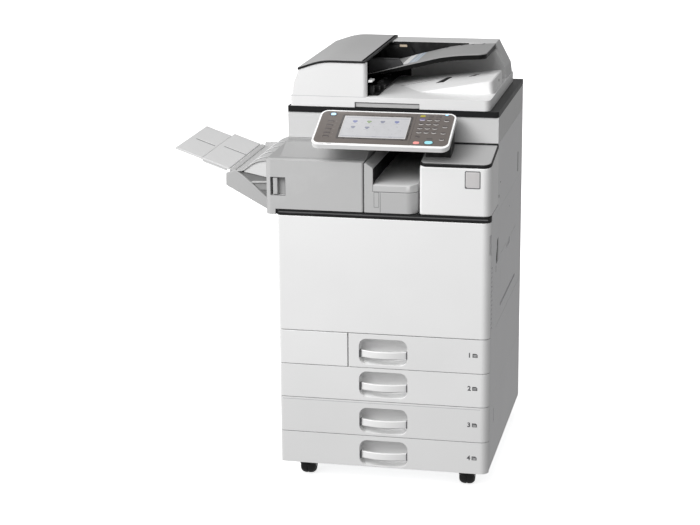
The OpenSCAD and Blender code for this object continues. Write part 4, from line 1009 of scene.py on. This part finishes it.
# Trim band's round left end
lathe("trim_end", [(0.3, 770.2), (6.6, 770.2), (7.8, 771.4), (7.8, 783.4), (6.6, 784.6), (0.3, 784.6)],
    (-289.6, FRONT + 7.6, 0), "z", "black", "root", steps=28, bevel=0.3, seg=1)

# --- casters: round hood and twin wheels

CASTER_X, CASTER_Y, TRAIL, WHEEL_R = 228, 292, 14, 25
HOOD = [(0.4, 52.2), (20, 52.2), (22.4, 50.5), (23.4, 46), (23.2, 37), (21.8, 33), (19.5, 32), (19, 36),
        (18.5, 44), (0.4, 46)]
# A wheel's radius at shares of its width, from the inner face outwards, then back into the hub
TYRE = [(5.4, 0), (24.4, 0), (24.9, 0.1), (WHEEL_R, 0.25), (24.5, 0.45), (23.2, 0.66), (21.0, 0.83),
        (18.6, 0.95), (17.0, 1), (16.5, 0.9), (9.5, 0.88), (8.2, 1), (5.4, 1)]
for where in ("front_left", "front_right", "rear_left", "rear_right"):
    cx = -CASTER_X if "left" in where else CASTER_X
    cy = -CASTER_Y if "front" in where else CASTER_Y
    body, wheel = "caster_" + where, "wheel_" + where
    hood = lathe("hood_" + where, HOOD, (cx, cy, 0), "z", "black", body, steps=40, bevel=0.4, seg=2, angle=40)
    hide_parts("caster_fork_" + where)
    centre = (0, cy + TRAIL, WHEEL_R)
    axle = [(0.2, cx - 21.6), (4.2, cx - 21.6), (5, cx - 21), (5, cx + 21), (4.2, cx + 21.6),
        (0.2, cx + 21.6)]
    lathe("axle_" + where, axle, centre, "x", "bright_steel", body, steps=24, bevel=0.2, seg=1)
    disc = [polar(cy + TRAIL, WHEEL_R, 22.5, a) for a in range(0, 360, 10)]
    prism("arm_" + where, disc, "x", cx - 0.9, cx + 0.9, "black", body, bevel=0.2, seg=1)
    for side in (-1, 1):
        a, b = cx + side * 1.1, cx + side * 21.0
        profile = [(r, a + share * (b - a)) for r, share in TYRE]
        lathe(f"twin_wheel_{where}_{'ab'[side > 0]}", profile, centre, "x", "rubber", wheel,
            steps=44, bevel=0.3, seg=1, angle=40)
    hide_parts("caster_wheel_" + where)

# --- inside the drawers, the front compartment and the back

for i, z in enumerate(TRAY_FLOOR_Z):
    body = f"drawer_{i + 1}"
    x0 = SPLIT_X + 20 if i == 0 else -240
    for side, y in (("front", -210), ("rear", 120)):
        prism(f"paper_guide_{side}_{i + 1}", [(x0 + 30, z + 13), (x0 + 40, z + 13), (x0 + 40, z + 52),
            (x0 + 37, z + 56), (x0 + 33, z + 56), (x0 + 30, z + 52)], "y", y, y + 70, "shade", body,
            bevel=1.2, seg=2, slot="grey_plastic")
    prism(f"lift_plate_{i + 1}", rrect(x0 + 44, 225, -250, 250, 12, 6), "z", z + 12.2, z + 13.8, "mid", body,
        bevel=0.5, seg=2)
    prism(f"lift_pad_{i + 1}", rrect(150, 205, -60, 60, 6, 5), "z", z + 13.4, z + 14.6, "roller", body,
        bevel=0.4, seg=2)

# --- camera, light, floor

floor_mesh = bpy.data.meshes.new("floor")
bm = bmesh.new()
bmesh.ops.create_grid(bm, x_segments=2, y_segments=2, size=90.0)
bm.to_mesh(floor_mesh)
bm.free()
floor = bpy.data.objects.new("floor", floor_mesh)
floor.location = (0, 12, -0.0005)
scene.collection.objects.link(floor)
floor.visible_diffuse = False
floor.visible_glossy = False
floor_mat, tree, bsdf, coord = new_material("floor_mat")
tree.links.new(mixed(tree, noise(tree, coord, 0.4), (0.93, 0.93, 0.93, 1), (0.95, 0.95, 0.95, 1)),
    bsdf.inputs["Base Color"])
bsdf.inputs["Roughness"].default_value = 0.9
bsdf.inputs["Specular IOR Level"].default_value = 0.1
bsdf.inputs["Emission Color"].default_value = (1, 1, 1, 1)
bsdf.inputs["Emission Strength"].default_value = 0.75
floor_mesh.materials.append(floor_mat)

world = bpy.data.worlds.new("studio")
world.use_nodes = True
world.node_tree.nodes["Background"].inputs["Color"].default_value = (1.0, 1.0, 1.0, 1)
world.node_tree.nodes["Background"].inputs["Strength"].default_value = 0.34
scene.world = world


def sun(name, towards, strength, softness):
    """A sun that shines from a direction; softness is its width in degrees."""
    lamp = bpy.data.lights.new(name, "SUN")
    lamp.energy = strength
    lamp.angle = math.radians(softness)
    o = bpy.data.objects.new(name, lamp)
    o.rotation_euler = (-Vector(towards)).to_track_quat("-Z", "Y").to_euler()
    scene.collection.objects.link(o)


sun("key", (-0.40, -0.62, 0.68), 1.75, 60)
panel_lamp = bpy.data.lights.new("softbox", "AREA")
panel_lamp.shape, panel_lamp.size, panel_lamp.size_y = "RECTANGLE", 1.4, 1.2
panel_lamp.energy = 33.0
softbox = bpy.data.objects.new("softbox", panel_lamp)
softbox.location = (-1.1, -1.6, 2.4)
softbox.rotation_euler = (
    Vector((0.12, -0.15, 0.75)) - Vector(softbox.location)).to_track_quat("-Z", "Y").to_euler()
scene.collection.objects.link(softbox)

camera = bpy.data.cameras.new("camera")
camera.lens, camera.sensor_width = 99.0, 36.0
cam = bpy.data.objects.new("camera", camera)
turn, height, roll = math.radians(12.006), math.radians(15.111), math.radians(-0.436)
back = Vector((math.sin(turn) * math.cos(height), -math.cos(turn) * math.cos(height), math.sin(height)))
right = Vector((0, 0, 1)).cross(back).normalized()
up = back.cross(right)
right, up = math.cos(roll) * right + math.sin(roll) * up, -math.sin(roll) * right + math.cos(roll) * up
cam.matrix_world = (Matrix.Translation((1.11228, -5.28729, 2.01247))
                    @ Matrix((right, up, back)).transposed().to_4x4())
scene.collection.objects.link(cam)
scene.camera = cam
scene.view_settings.view_transform = "Standard"
